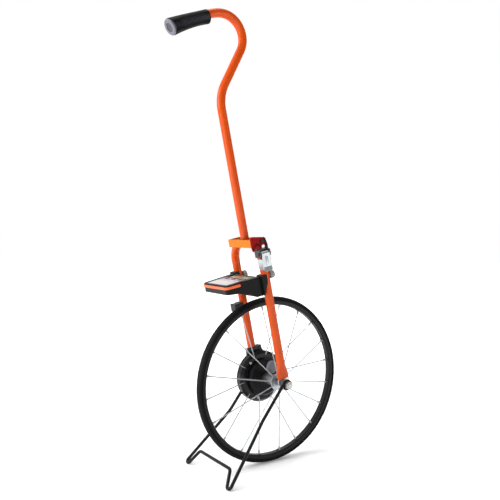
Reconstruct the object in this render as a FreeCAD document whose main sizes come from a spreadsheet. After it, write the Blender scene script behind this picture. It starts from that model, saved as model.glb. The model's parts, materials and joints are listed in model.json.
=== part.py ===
"""A walk-behind measuring wheel with a folding handle, a tilted counter and a folding wire stand."""
import FreeCAD, Part
import math
import os
import Sketcher
from FreeCAD import Placement, Rotation, Vector

# Driving dimensions, in millimetres and degrees. Lengths named *_up are measured from the axle
# along the leaning fork; lengths named *_fwd are measured forwards, square to the fork.
DIMS = {
    # place of the wheel in the part's own frame, and the fork's backward lean
    "axle_x": 29.1, "axle_z": 159.15, "lean": 12.0,
    # wheel
    "tyre_radius": 159.15, "tyre_half": 8.6, "tyre_shoulder": 153.4, "seat_half": 5.8,
    "seat_radius": 147.5, "rim_edge": 151.0, "rim_half": 7.5, "rim_knee": 145.5,
    "rim_floor": 143.5, "rim_floor_half": 5.0,
    "spoke_radius": 1.0, "spoke_pairs": 10, "first_spoke": 98.3, "spoke_rim_y": 1.5,
    "spoke_top": 146.0, "nipple_radius": 2.0, "nipple_length": 9.0,
    "near_hook_radius": 12.5, "near_hook_y": -28.0, "far_hook_radius": 43.0, "far_hook_y": 24.5,
    # hub and drum
    "axle_radius": 4.0, "running_gap": 0.05, "bearing_radius": 8.0, "bearing_width": 5.0,
    "barrel_radius": 10.0, "barrel_bore": 5.5, "barrel_near": -28.0, "barrel_far": 31.0,
    "flange_radius": 16.0, "flange_near": -27.5, "flange_far": -25.0,
    "drum_radius": 50.0, "drum_front": 24.0, "drum_back": 36.0, "drum_wall": 3.0,
    "drum_chamfer": 5.0, "boss_radius": 35.0, "boss_front": 13.0, "boss_wall": 2.5, "boss_edge": 3.0,
    "cap_radius": 12.5, "cap_height": 8.0, "cap_straight": 3.0, "cap_slope": 1.5, "cap_shoulder": 10.0,
    "cap_flat": 6.5, "cap_orbit": 22.6, "cap_angle": 58.0,
    "screw_head": 2.8, "screw_proud": 2.0, "screw_orbit": 41.0, "screw_shank": 1.3, "magnet_inner": 35.0,
    "magnet_outer": 43.0, "magnet_thick": 3.0,
    # axle hardware
    "axle_near": -65.0, "axle_far": 61.5, "nut_across": 13.0, "nut_height": 6.4,
    "spacer_radius": 6.0, "washer_radius": 8.0,
    # fork
    "leg_y": 46.0, "tube_radius": 8.0, "tube_wall": 1.5, "near_leg_end": 38.0,
    "far_leg_end": 59.2, "leg_bend_up": 231.0, "leg_bend_radius": 38.0, "leg_bend_angle": 75.0,
    "swage_end": 11.0, "swage_flat_end": 22.0, "swage_half_width": 12.3, "swage_half_thick": 3.6,
    "plate_thick": 3.0, "near_plate_outer": -47.5, "near_plate_radius": 12.0,
    "far_plate_inner": 43.0, "far_plate_half": 16.0, "far_plate_shoulder": 43.0,
    "tongue_half": 5.6, "tongue_top": 76.0, "plate_corner": 3.0,
    # fixed cover behind the drum
    "cover_radius": 50.0, "cover_front": 37.5, "cover_back": 40.5, "lug_top": 58.0,
    "lug_rear": -9.0, "lug_front": 17.5, "lug_fillet": 9.0, "lug_root": 29.0, "lug_step": 44.0,
    "cover_screw_up": 51.0, "cover_screw_near": 2.0, "cover_screw_far": 12.0,
    "cover_screw_head": 3.0, "cover_screw_grip": 4.0,
    "board_length": 24.0, "board_height": 20.0, "board_thick": 1.6, "board_fwd": 14.0,
    "chip_fwd": 29.0, "chip_size": 8.0, "chip_gap": 4.0,
    # crown bracket and handle pivot
    "crown_half": 38.25, "crown_rear": -13.0, "crown_front": 17.0, "crown_sheet": 2.5,
    "crown_bottom": 262.0, "crown_top": 276.5, "crown_corner": 5.0, "gusset_inner": 13.5,
    "gusset_front": 16.5, "cheek_bottom": 251.0, "cheek_heel": 254.5, "cheek_top": 281.5,
    "cheek_front": 18.5, "cheek_corner": 2.0, "cheek_step": 2.0,
    "cheek_slant": 3.0, "cheek_peak": 5.0, "gusset_drop": 1.0,
    "pivot_fwd": 11.2, "pivot_up": 270.0, "pivot_radius": 3.0, "pivot_head": 4.2,
    "pivot_head_height": 2.0, "barrel_outer": 6.4, "barrel_play": 0.3,
    "slot_fwd": 12.8, "slot_up": 260.0, "slot_length": 8.2, "slot_width": 5.4,
    "catch_thick": 2.6, "catch_sole": 1.5, "catch_toe": 2.0,
    "catch_front": 20.5, "catch_band": 2.5, "bumper_gap": 0.5,
    # handle
    "handle_foot": 266.0, "handle_bend_up": 513.5, "handle_bend_radius": 70.0,
    "handle_bend_angle": 39.5, "reach_length": 72.4, "crook_radius": 41.5, "crook_angle": 114.5,
    "top_radius": 60.0, "top_angle": 19.0, "rear_radius": 330.0, "rear_angle": 15.6,
    "grip_from": 2.95, "grip_to": 16.65, "grip_front": 12.9, "grip_waist": 12.5, "grip_palm": 13.3,
    "front_drop": 4.0, "waist_drop": 3.5, "palm_drop": 2.4,
    "grip_end": 15.4, "grip_wall_play": 0.02, "plug_depth": 5.8, "plug_radius": 7.85, "cap_disc": 14.4,
    "cap_eye": 8.0, "cap_edge": 1.0, "cap_thick": 2.4, "cap_floor": 0.8, "insert_thick": 0.9,
    # latch on the near leg
    "latch_y": -55.0, "latch_up": 250.0, "latch_pin": 2.0, "latch_knuckle": 4.5,
    "latch_half": 8.4, "latch_outer": -60.2, "latch_inner": -58.4, "latch_tip": 218.5,
    "yoke_half": 11.5, "yoke_slot": 8.6, "yoke_bottom": 244.0, "yoke_top": 257.5,
    "yoke_root": 4.0, "yoke_ear": 4.0, "yoke_corner": 3.0, "pin_proud": 1.0, "knuckle_play": 0.3,
    "tip_flare": 2.4, "tip_length": 8.0, "tip_round": 3.0, "flange_round": 6.0,
    "channel_half": 9.8, "channel_sheet": 1.3,
    "channel_top": 241.0, "channel_bottom": 221.0, "channel_inner": -44.5,
    # counter
    "case_rear": -82.0, "case_front": -13.0, "case_rear_half": 42.0, "case_front_half": 48.6,
    "case_split": 205.0, "case_top": 209.6, "case_rear_bottom": 193.0, "belly": 174.2,
    "saddle_top": 212.0, "saddle_inner": 36.5, "saddle_outer": 54.5, "saddle_front": -2.0,
    "saddle_toe": 198.0, "saddle_corner": 2.5, "corner": 8.0,
    "window_rear": -33.5, "window_front": -15.2, "window_half": 36.0,
    "keys_rear": -77.5, "keys_front": -35.0, "keys_half": 35.0, "panel_top": 209.2,
    "panel_floor": 207.6, "panel_play": 0.2, "lcd_top": 207.2, "lcd_thick": 6.2, "board_half": 36.0,
    "main_board_top": 201.0,
    "button_fwd": -40.0, "button_pitch": 22.0, "button_radius": 4.2, "button_travel": 0.8,
    "button_thick": 1.6, "stem_radius": 3.15, "stem_length": 6.0, "post_radius": 3.2,
    "trim_out": 1.6, "trim_bottom": 202.4, "trim_top": 207.0, "trim_front": -55.0,
    "slope_rear": -56.0, "slope_front": -39.0, "slope_up": 183.5, "belly_rear": -24.0,
    "case_wall": 3.0, "well_half": 38.0, "well_rear": -35.0, "well_floor": 186.0, "bay_half": 26.0,
    "door_rear": -36.5, "door_near": -46.0, "door_far": 29.5, "door_thick": 2.6, "door_play": 0.2,
    "bay_play": 0.5, "bay_near": -60.0, "rim_bevel": 0.8, "under_floor": 1.2,
    "near_bolt_up": 208.0, "far_bolt_up": 202.0, "knob_radius": 7.4, "knob_front": 18.0,
    "bolt_shank": 2.5, "bolt_back": -11.0,
    "bolt_hole_front": -5.0, "collar_radius": 4.0, "collar_height": 1.0, "margin": 5.0, "cut_depth": 40.0,
    "cell_radius": 5.25, "cell_length": 44.5, "cell_front": -17.0, "cell_stagger": 2.0,
    "cell_floor": 177.8, "cell_gap": 0.2,
    # stand
    "wire_radius": 3.0, "near_eye_y": -54.6, "far_eye_y": 49.6, "knee_radius": 60.0,
    "near_knee_x": -57.0, "near_knee_y": -59.0, "near_knee_z": -56.15,
    "far_knee_x": -58.5, "far_knee_y": 51.5, "far_knee_z": -64.0,
    "foot_x": -139.5, "foot_outer": 79.5, "foot_inner": 69.5,
    "foot_z": -156.15, "foot_radius": 4.6, "corner_x": -123.0, "corner_y": 54.0, "corner_z": -132.15,
    "corner_radius": 8.0,
    "clip_rear": -24.5, "clip_bottom": 136.0, "clip_top": 151.0, "clip_outer": 55.5, "clip_notch": -17.5,
    "clip_bite": 3.0, "clip_root": 7.0, "clip_lap": 3.0,
}
STEP_FOLDER = "parts"
doc = FreeCAD.newDocument("measuring_wheel")
sheet = doc.addObject("Spreadsheet::Sheet", "dims")
pieces = []


def fill_sheet():
    """Write every driving dimension to the sheet, one aliased cell each."""
    for row, (alias, number) in enumerate(DIMS.items(), start=1):
        sheet.set(f"A{row}", alias)
        sheet.set(f"B{row}", str(number))
        sheet.setAlias(f"B{row}", alias)
    doc.recompute()


def bound(text):
    """Turn a short expression such as 'leg_y + 2' into one that names the sheet's cells."""
    words = ""
    out = ""
    for letter in text + " ":
        if letter.isalnum() or letter == "_":
            words += letter
            continue
        out += f"dims.{words}" if words in DIMS else words
        words = ""
        out += letter
    return out.strip()


def value(text):
    """Return the number that a short expression has now."""
    result = sheet.evalExpression(bound(str(text)))
    return float(getattr(result, "Value", result))


def bind(thing, path, text):
    """Bind one property of an object to the sheet."""
    thing.setExpression(path, bound(str(text)))


def keep(thing, label):
    """Register an object as a finished piece."""
    thing.Label = label
    pieces.append(thing)
    return thing


def stand_upright(thing, dx="0", dz="0"):
    """Place a piece whose local origin is the axle's centre, with no lean."""
    bind(thing, "Placement.Base.x", f"axle_x + {dx}")
    bind(thing, "Placement.Base.z", f"axle_z + {dz}")


def lean_back(thing):
    """Place a piece drawn with the fork upright: the axle's centre is its origin."""
    thing.Placement = Placement(Vector(0, 0, 0), Rotation(Vector(0, 1, 0), -value("lean")))
    bind(thing, "Placement.Rotation.Angle", "-lean * 1 deg")
    stand_upright(thing)


# ---------------------------------------------------------------- sketches and features

def new_body(name):
    return doc.addObject("PartDesign::Body", f"{name}_body")


def new_sketch(body, plane, offset="0"):
    """Add a sketch on one of the body's own origin planes, shifted along its normal."""
    sketch = body.newObject("Sketcher::SketchObject", "sketch")
    support = next(item for item in body.Origin.OriginFeatures if item.Role == plane)
    sketch.AttachmentSupport = [(support, "")]
    sketch.MapMode = "FlatFace"
    bind(sketch, "AttachmentOffset.Base.z", offset)
    return sketch


def constrain(sketch, text, *terms):
    """Add one dimension to a sketch and bind it to the sheet."""
    index = sketch.addConstraint(Sketcher.Constraint(*terms, value(text)))
    bind(sketch, f"Constraints[{index}]", text)


def draw_polygon(sketch, corners):
    """Draw a closed outline of straight sides through corners given as expression pairs."""
    spots = [Vector(value(x), value(y), 0) for x, y in corners]
    count = len(spots)
    first = sketch.GeometryCount
    for index, spot in enumerate(spots):
        sketch.addGeometry(Part.LineSegment(spot, spots[(index + 1) % count]))
    for index, (x, y) in enumerate(corners):
        side = first + index
        following = first + (index + 1) % count
        sketch.addConstraint(Sketcher.Constraint("Coincident", side, 2, following, 1))
        constrain(sketch, x, "DistanceX", side, 1)
        constrain(sketch, y, "DistanceY", side, 1)


def draw_circle(sketch, x, y, radius):
    """Draw a circle whose centre and radius are expressions."""
    centre = Vector(value(x), value(y), 0)
    circle = sketch.addGeometry(Part.Circle(centre, Vector(0, 0, 1), value(radius)))
    constrain(sketch, x, "DistanceX", circle, 3)
    constrain(sketch, y, "DistanceY", circle, 3)
    constrain(sketch, radius, "Radius", circle)


def walk(start, heading, steps):
    """Follow straight runs and tangent arcs; yield each one's geometry, then the end and heading."""
    x, y = value(start[0]), value(start[1])
    angle = math.radians(value(heading))
    path = []
    for step in steps:
        if step[0] == "run":
            length = value(step[1])
            end = (x + length * math.cos(angle), y + length * math.sin(angle))
            path.append(Part.LineSegment(Vector(x, y, 0), Vector(*end, 0)))
        else:
            radius, turn = value(step[1]), math.radians(value(step[2]))
            side = math.copysign(1.0, turn)
            cx, cy = x - side * radius * math.sin(angle), y + side * radius * math.cos(angle)
            begin = angle - side * math.pi / 2
            low, high = sorted((begin, begin + turn))
            circle = Part.Circle(Vector(cx, cy, 0), Vector(0, 0, 1), radius)
            path.append(Part.ArcOfCircle(circle, low, high))
            angle += turn
            finish = begin + turn
            end = (cx + radius * math.cos(finish), cy + radius * math.sin(finish))
        x, y = end
    return path, (x, y), math.degrees(angle)


def draw_walk(sketch, start, heading, steps):
    """Draw a path of runs and tangent arcs, and bind each length, radius and turn to the sheet."""
    path, _, _ = walk(start, heading, steps)
    exits = []
    for index, (step, geometry) in enumerate(zip(steps, path)):
        sketch.addGeometry(geometry)
        left_turn = step[0] == "run" or value(step[2]) > 0
        entry, leave = (1, 2) if left_turn else (2, 1)
        if index:
            sketch.addConstraint(Sketcher.Constraint("Tangent", index - 1, exits[-1], index, entry))
        exits.append(leave)
        if step[0] == "run":
            constrain(sketch, step[1], "Distance", index)
        else:
            constrain(sketch, step[1], "Radius", index)
            sweep = sketch.addConstraint(
                Sketcher.Constraint("Angle", index, abs(math.radians(value(step[2])))))
            bind(sketch, f"Constraints[{sweep}]", f"abs({step[2]}) * 1 deg")
    constrain(sketch, start[0], "DistanceX", 0, 1)
    constrain(sketch, start[1], "DistanceY", 0, 1)
    sketch.addConstraint(Sketcher.Constraint("Vertical", 0))


def pad(body, sketch, length, both_ways=False, reverse=False):
    """Extrude a sketch along its plane's normal."""
    feature = body.newObject("PartDesign::Pad", "pad")
    feature.Profile = sketch
    bind(feature, "Length", length)
    feature.Midplane = both_ways
    feature.Reversed = reverse
    doc.recompute()
    return feature


def pocket(body, sketch, length=None, both_ways=False, reverse=False):
    """Cut a sketch out of the body, and fail if nothing was cut."""
    before = body.Shape.Volume
    feature = body.newObject("PartDesign::Pocket", "pocket")
    feature.Profile = sketch
    feature.Type = "ThroughAll" if length is None else "Length"
    if length is not None:
        bind(feature, "Length", length)
    feature.Midplane = both_ways
    feature.Reversed = reverse
    doc.recompute()
    if body.Shape.Volume > before - 0.01:
        raise RuntimeError(f"a pocket in {body.Name} cuts nothing")
    return feature


def dress(body, kind, size, chooser):
    """Fillet or chamfer the edges that chooser picks."""
    base = body.Tip
    names = [f"Edge{n}" for n, edge in enumerate(base.Shape.Edges, start=1) if chooser(edge)]
    if not names:
        raise RuntimeError(f"no edge to {kind} in {body.Name}")
    feature = body.newObject(f"PartDesign::{kind}", kind.lower())
    feature.Base = (base, names)
    bind(feature, "Radius" if kind == "Fillet" else "Size", size)
    doc.recompute()
    return feature


def runs_along(edge, axis):
    """Say whether an edge is straight and parallel to an axis."""
    if edge.Curve.TypeId != "Part::GeomLine":
        return False
    return abs(abs(edge.tangentAt(edge.FirstParameter).dot(axis)) - 1) < 1e-6


def lathe(label, corners, plane="YZ_Plane"):
    """Turn a closed section (distance along the axis, radius) about its sketch's first axis."""
    body = new_body(label)
    sketch = new_sketch(body, plane)
    draw_polygon(sketch, corners)
    turned = body.newObject("PartDesign::Revolution", "turned")
    turned.Profile = sketch
    turned.ReferenceAxis = (sketch, ["H_Axis"])
    turned.Angle = 360
    doc.recompute()
    return keep(body, label)


def rod(name, radius, length, base=("0", "0", "0"), axis=Vector(0, 0, 1)):
    """Make a plain cylinder, bound to the sheet."""
    cylinder = doc.addObject("Part::Cylinder", name)
    turn = Rotation(Vector(0, 0, 1), axis)
    cylinder.Placement = Placement(Vector(*[value(b) for b in base]), turn)
    bind(cylinder, "Radius", radius)
    bind(cylinder, "Height", length)
    for letter, text in zip("xyz", base):
        bind(cylinder, f"Placement.Base.{letter}", text)
    return cylinder


def block(name, low, high):
    """Make a box between two corners given as expressions."""
    box = doc.addObject("Part::Box", name)
    for letter, side, a, b in zip("xyz", ("Length", "Width", "Height"), low, high):
        bind(box, f"Placement.Base.{letter}", a)
        bind(box, side, f"({b}) - ({a})")
    return box


def fuse(name, parts):
    joined = doc.addObject("Part::MultiFuse", name)
    joined.Shapes = parts
    return joined


def gather(name, parts):
    group = doc.addObject("Part::Compound", name)
    group.Links = parts
    return group


def cut(name, base, tool):
    rest = doc.addObject("Part::Cut", name)
    rest.Base = base
    rest.Tool = tool
    return rest


def prism(name, across, height, base, axis):
    """Make a hexagonal prism with the given distance across its flats."""
    shape = doc.addObject("Part::Prism", name)
    shape.Polygon = 6
    shape.Placement = Placement(Vector(*[value(b) for b in base]), Rotation(Vector(0, 0, 1), axis))
    bind(shape, "Circumradius", f"({across}) / sqrt(3)")
    bind(shape, "Height", height)
    for letter, text in zip("xyz", base):
        bind(shape, f"Placement.Base.{letter}", text)
    return shape


ALONG_X = Vector(1, 0, 0)
ALONG_Y = Vector(0, 1, 0)
ALONG_Z = Vector(0, 0, 1)


# ---------------------------------------------------------------- wheel

def make_tyre():
    body = new_body("tyre")
    sketch = new_sketch(body, "YZ_Plane")
    corners = [("-tyre_half", "tyre_shoulder"), ("-tyre_half", "rim_edge"),
               ("-seat_half", "rim_edge"), ("-seat_half", "seat_radius"),
               ("seat_half", "seat_radius"), ("seat_half", "rim_edge"),
               ("tyre_half", "rim_edge"), ("tyre_half", "tyre_shoulder")]
    spots = [Vector(value(y), value(r), 0) for y, r in corners]
    for start, end in zip(spots, spots[1:]):
        sketch.addGeometry(Part.LineSegment(start, end))
    crown = Part.Arc(spots[-1], Vector(0, value("tyre_radius"), 0), spots[0])
    sketch.addGeometry(crown)
    last = len(spots) - 1
    for side in range(last):
        following = side + 1
        sketch.addConstraint(Sketcher.Constraint("Coincident", side, 2, following, 1))
        constrain(sketch, corners[side][0], "DistanceX", side, 1)
        constrain(sketch, corners[side][1], "DistanceY", side, 1)
    sketch.addConstraint(Sketcher.Constraint("Coincident", last, 2, 0, 1))
    constrain(sketch, corners[-1][0], "DistanceX", last - 1, 2)
    constrain(sketch, corners[-1][1], "DistanceY", last - 1, 2)
    rise = "(tyre_radius - tyre_shoulder)"
    constrain(sketch, f"(tyre_half * tyre_half + {rise} * {rise}) / (2 * {rise})", "Radius", last)
    turned = body.newObject("PartDesign::Revolution", "turned")
    turned.Profile = sketch
    turned.ReferenceAxis = (sketch, ["H_Axis"])
    turned.Angle = 360
    stand_upright(keep(body, "tyre"))


def make_rim():
    rim = lathe("rim", [
        ("-rim_half", "rim_edge"), ("-rim_half", "rim_knee"), ("-rim_floor_half", "rim_floor"),
        ("rim_floor_half", "rim_floor"), ("rim_half", "rim_knee"), ("rim_half", "rim_edge"),
        ("seat_half", "rim_edge"), ("seat_half", "seat_radius"), ("-seat_half", "seat_radius"),
        ("-seat_half", "rim_edge")])
    stand_upright(rim)


def spoke_line(index, near):
    """Return the hooked end, the direction and the rim end of one spoke."""
    angle = math.radians(value("first_spoke") - 180.0 / value("spoke_pairs") * index)
    side = "near" if near else "far"
    radius, y = value(f"{side}_hook_radius"), value(f"{side}_hook_y")
    rim_y = math.copysign(value("spoke_rim_y"), y)
    out = Vector(math.cos(angle), 0, math.sin(angle))
    hook = out * radius + Vector(0, y, 0)
    end = out * value("spoke_top") + Vector(0, rim_y, 0)
    return hook, end


def make_spokes():
    """Radial spokes: even places hook on the small near flange, odd ones on the drum's edge."""
    nipples = []
    count = int(value("spoke_pairs"))
    for near, label in ((True, "spokes_near"), (False, "spokes_far")):
        wires = []
        for step in range(count):
            index = 2 * step + (0 if near else 1)
            hook, end = spoke_line(index, near)
            along = (end - hook).normalize()
            wire = rod(f"{label}_{step}", "spoke_radius", "1", axis=along)
            wire.setExpression("Height", None)
            wire.Height = (end - hook).Length
            for letter in "xyz":
                wire.setExpression(f"Placement.Base.{letter}", None)
            wire.Placement = Placement(hook, Rotation(ALONG_Z, along))
            wires.append(wire)
            sleeve = rod(f"nipple_{index}", "nipple_radius", "nipple_length", axis=along)
            for letter in "xyz":
                sleeve.setExpression(f"Placement.Base.{letter}", None)
            sleeve.Placement = Placement(end - along * value("nipple_length"), Rotation(ALONG_Z, along))
            nipples.append(sleeve)
        stand_upright(keep(gather(label, wires), label))
    stand_upright(keep(gather("spoke_nipples", nipples), "spoke_nipples"))


def make_hub():
    shell = lathe("hub_shell", [
        ("barrel_near", "bearing_radius"), ("barrel_near", "barrel_radius"),
        ("flange_near", "barrel_radius"), ("flange_near", "flange_radius"),
        ("flange_far", "flange_radius"), ("flange_far", "barrel_radius"),
        ("barrel_far", "barrel_radius"), ("barrel_far", "bearing_radius"),
        ("barrel_far - bearing_width", "bearing_radius"),
        ("barrel_far - bearing_width", "barrel_bore"),
        ("barrel_near + bearing_width", "barrel_bore"),
        ("barrel_near + bearing_width", "bearing_radius")])
    stand_upright(shell)
    for label, start in (("bearing_near", "barrel_near"), ("bearing_far", "barrel_far - bearing_width")):
        ring = lathe(label, [
            (start, "axle_radius + running_gap"), (start, "bearing_radius"),
            (f"{start} + bearing_width", "bearing_radius"),
            (f"{start} + bearing_width", "axle_radius + running_gap")])
        stand_upright(ring)


def make_drum():
    """The black drum turns with the wheel: an outer shell, a raised front boss and small trim."""
    shell = lathe("drum_shell", [
        ("drum_front", "barrel_radius"), ("drum_front", "drum_radius - drum_chamfer"),
        ("drum_front + drum_chamfer", "drum_radius"), ("drum_back", "drum_radius"),
        ("drum_back", "drum_radius - drum_wall"),
        ("drum_front + drum_chamfer + 1", "drum_radius - drum_wall"),
        ("drum_front + drum_wall", "drum_radius - drum_chamfer - 1"),
        ("drum_front + drum_wall", "barrel_radius")])
    stand_upright(shell)
    boss = lathe("drum_boss", [
        ("boss_front", "barrel_radius"), ("boss_front", "boss_radius - boss_edge"),
        ("boss_front + boss_edge", "boss_radius"), ("drum_front", "boss_radius"),
        ("drum_front", "boss_radius - boss_wall"), ("boss_front + boss_edge + 1", "boss_radius - boss_wall"),
        ("boss_front + boss_wall", "boss_radius - boss_wall - boss_edge / 2"),
        ("boss_front + boss_wall", "barrel_radius")])
    stand_upright(boss)
    magnet = lathe("magnet_ring", [
        ("drum_front + drum_wall", "magnet_inner"), ("drum_front + drum_wall", "magnet_outer"),
        ("drum_front + drum_wall + magnet_thick", "magnet_outer"),
        ("drum_front + drum_wall + magnet_thick", "magnet_inner")])
    stand_upright(magnet)
    cap = lathe("drum_cap", [
        ("boss_front", "0"), ("boss_front", "cap_radius"), ("boss_front - cap_straight", "cap_radius"),
        ("boss_front - cap_height + cap_slope", "cap_shoulder"), ("boss_front - cap_height", "cap_flat"),
        ("boss_front - cap_height", "0")])
    stand_upright(cap, "cap_orbit * cos(cap_angle * 1 deg)", "cap_orbit * sin(cap_angle * 1 deg)")
    screws = []
    for step in range(3):
        angle = math.radians(value("first_spoke") + 36.0 + 120.0 * step)
        spot = (f"screw_orbit * {math.cos(angle):.6f}", f"screw_orbit * {math.sin(angle):.6f}")
        head = rod(f"drum_screw_head_{step}", "screw_head", "screw_proud",
                   (spot[0], "drum_front - screw_proud", spot[1]), ALONG_Y)
        shank = rod(f"drum_screw_shank_{step}", "screw_shank", "drum_wall",
                    (spot[0], "drum_front", spot[1]), ALONG_Y)
        screws.append(fuse(f"drum_screw_{step}", [head, shank]))
    stand_upright(keep(gather("drum_screws", screws), "drum_screws"))


# ---------------------------------------------------------------- axle hardware

def ring_between(name, low, high, outer, inner):
    """Make a plain ring round the axle's line."""
    outside = rod(f"{name}_out", outer, f"({high}) - ({low})", ("0", low, "0"), ALONG_Y)
    inside = rod(f"{name}_in", inner, f"({high}) - ({low})", ("0", low, "0"), ALONG_Y)
    return cut(name, outside, inside)


def make_axle():
    body = new_body("axle")
    sketch = new_sketch(body, "XZ_Plane", "-axle_far")
    draw_circle(sketch, "0", "0", "axle_radius")
    pad(body, sketch, "axle_far - axle_near")
    dress(body, "Chamfer", "axle_radius / 8", lambda edge: edge.Curve.TypeId == "Part::GeomCircle")
    stand_upright(keep(body, "axle"))

    near_nut = "near_eye_y - wire_radius - 0.1 - nut_height"
    far_nut = "far_eye_y + wire_radius + 0.1"
    nuts = []
    for side, start in (("near", near_nut), ("far", far_nut)):
        hexagon = prism(f"nut_hex_{side}", "nut_across", "nut_height", ("0", start, "0"), ALONG_Y)
        bore = rod(f"nut_bore_{side}", "axle_radius", "nut_height", ("0", start, "0"), ALONG_Y)
        nuts.append(cut(f"nut_{side}", hexagon, bore))
    stand_upright(keep(gather("axle_nuts", nuts), "axle_nuts"))

    washers = [
        ring_between("washer_near", "near_eye_y + wire_radius + 0.1", "near_plate_outer",
                     "washer_radius", "axle_radius"),
        ring_between("washer_far", "far_plate_inner + plate_thick", "far_eye_y - wire_radius - 0.1",
                     "washer_radius", "axle_radius")]
    stand_upright(keep(gather("axle_washers", washers), "axle_washers"))

    spacers = [
        ring_between("spacer_near", "near_plate_outer + plate_thick", "barrel_near - 0.2",
                     "spacer_radius", "axle_radius"),
        ring_between("spacer_far", "barrel_far + 0.2", "cover_back", "spacer_radius", "axle_radius")]
    stand_upright(keep(gather("axle_spacers", spacers), "axle_spacers"))


# ---------------------------------------------------------------- fork

def make_leg(label, side, end):
    """Bend one fork leg: upright from its end, then in towards the middle inside the crown."""
    body = new_body(label)
    spine = new_sketch(body, "YZ_Plane")
    steps = [("run", f"leg_bend_up - {end}"), ("arc", "leg_bend_radius", f"{side} * leg_bend_angle")]
    draw_walk(spine, (f"{side} * leg_y", end), "90", steps)
    ring = new_sketch(body, "XY_Plane", end)
    draw_circle(ring, "0", f"{side} * leg_y", "tube_radius")
    draw_circle(ring, "0", f"{side} * leg_y", "tube_radius - tube_wall")
    tube = body.newObject("PartDesign::AdditivePipe", "tube")
    tube.Profile = ring
    tube.Spine = (spine, [])
    doc.recompute()
    return body


def drill_leg(body, side, height):
    """Drill the leg front to back for the counter's clamp bolt."""
    hole = new_sketch(body, "YZ_Plane", "-tube_radius * 2")
    draw_circle(hole, f"{side} * leg_y", height, "bolt_shank")
    pocket(body, hole, "tube_radius * 4", reverse=True)


def draw_oval(sketch, x, y, half_width, half_thick):
    """Draw an ellipse with its long axis along the sketch's first axis."""
    centre = Vector(value(x), value(y), 0)
    tip = Vector(value(x) + value(half_width), value(y), 0)
    top = Vector(value(x), value(y) + value(half_thick), 0)
    sketch.addGeometry(Part.Ellipse(tip, top, centre))


def make_fork():
    near = make_leg("fork_leg_near", -1, "near_leg_end")
    tip = new_sketch(near, "XY_Plane", "swage_end")
    draw_oval(tip, "0", "-leg_y", "swage_half_width", "swage_half_thick")
    flat = new_sketch(near, "XY_Plane", "swage_flat_end")
    draw_oval(flat, "0", "-leg_y", "swage_half_width", "swage_half_thick")
    blade = near.newObject("PartDesign::AdditiveLoft", "blade")
    blade.Profile = tip
    blade.Sections = [flat]
    doc.recompute()
    low = new_sketch(near, "XY_Plane", "swage_flat_end")
    draw_oval(low, "0", "-leg_y", "swage_half_width", "swage_half_thick")
    top = new_sketch(near, "XY_Plane", "near_leg_end")
    draw_circle(top, "0", "-leg_y", "tube_radius")
    swage = near.newObject("PartDesign::AdditiveLoft", "swage")
    swage.Profile = low
    swage.Sections = [top]
    doc.recompute()
    drill_leg(near, -1, "near_bolt_up")
    lean_back(keep(near, "fork_leg_near"))

    far = make_leg("fork_leg_far", 1, "far_leg_end")
    drill_leg(far, 1, "far_bolt_up")
    lean_back(keep(far, "fork_leg_far"))


def make_dropouts():
    """Steel end plates: a small one under the near leg, a long one outside the fixed cover."""
    near = new_body("dropout_near")
    outline = new_sketch(near, "XZ_Plane", "-near_plate_outer - plate_thick")
    draw_circle(outline, "0", "0", "near_plate_radius")
    pad(near, outline, "plate_thick")
    neck = new_sketch(near, "XZ_Plane", "-near_plate_outer - plate_thick")
    draw_polygon(neck, [("-near_plate_radius", "0"), ("near_plate_radius", "0"),
                        ("near_plate_radius", "swage_end"), ("-near_plate_radius", "swage_end")])
    pad(near, neck, "plate_thick")
    hole = new_sketch(near, "XZ_Plane", "0")
    draw_circle(hole, "0", "0", "axle_radius")
    pocket(near, hole, both_ways=True)
    lean_back(keep(near, "dropout_near"))

    far = new_body("dropout_far")
    outline = new_sketch(far, "XZ_Plane", "-far_plate_inner - plate_thick")
    right_half = [("near_plate_radius", "0"), ("far_plate_half", "far_plate_shoulder"),
                  ("far_plate_half", "far_leg_end"), ("tongue_half", "far_leg_end"),
                  ("tongue_half", "tongue_top")]
    left_half = [(f"-{fwd}", up) for fwd, up in reversed(right_half)]
    draw_polygon(outline, right_half + left_half)
    pad(far, outline, "plate_thick")

    def shoulder(edge):
        middle = edge.CenterOfMass
        return runs_along(edge, ALONG_Y) and abs(middle.x) > value("tongue_half + 1") and middle.z > 20
    dress(far, "Fillet", "plate_corner", shoulder)
    end = new_sketch(far, "XZ_Plane", "-far_plate_inner - plate_thick")
    draw_circle(end, "0", "0", "near_plate_radius")
    pad(far, end, "plate_thick")
    hole = new_sketch(far, "XZ_Plane", "0")
    draw_circle(hole, "0", "0", "axle_radius")
    pocket(far, hole, both_ways=True)
    lean_back(keep(far, "dropout_far"))


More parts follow.
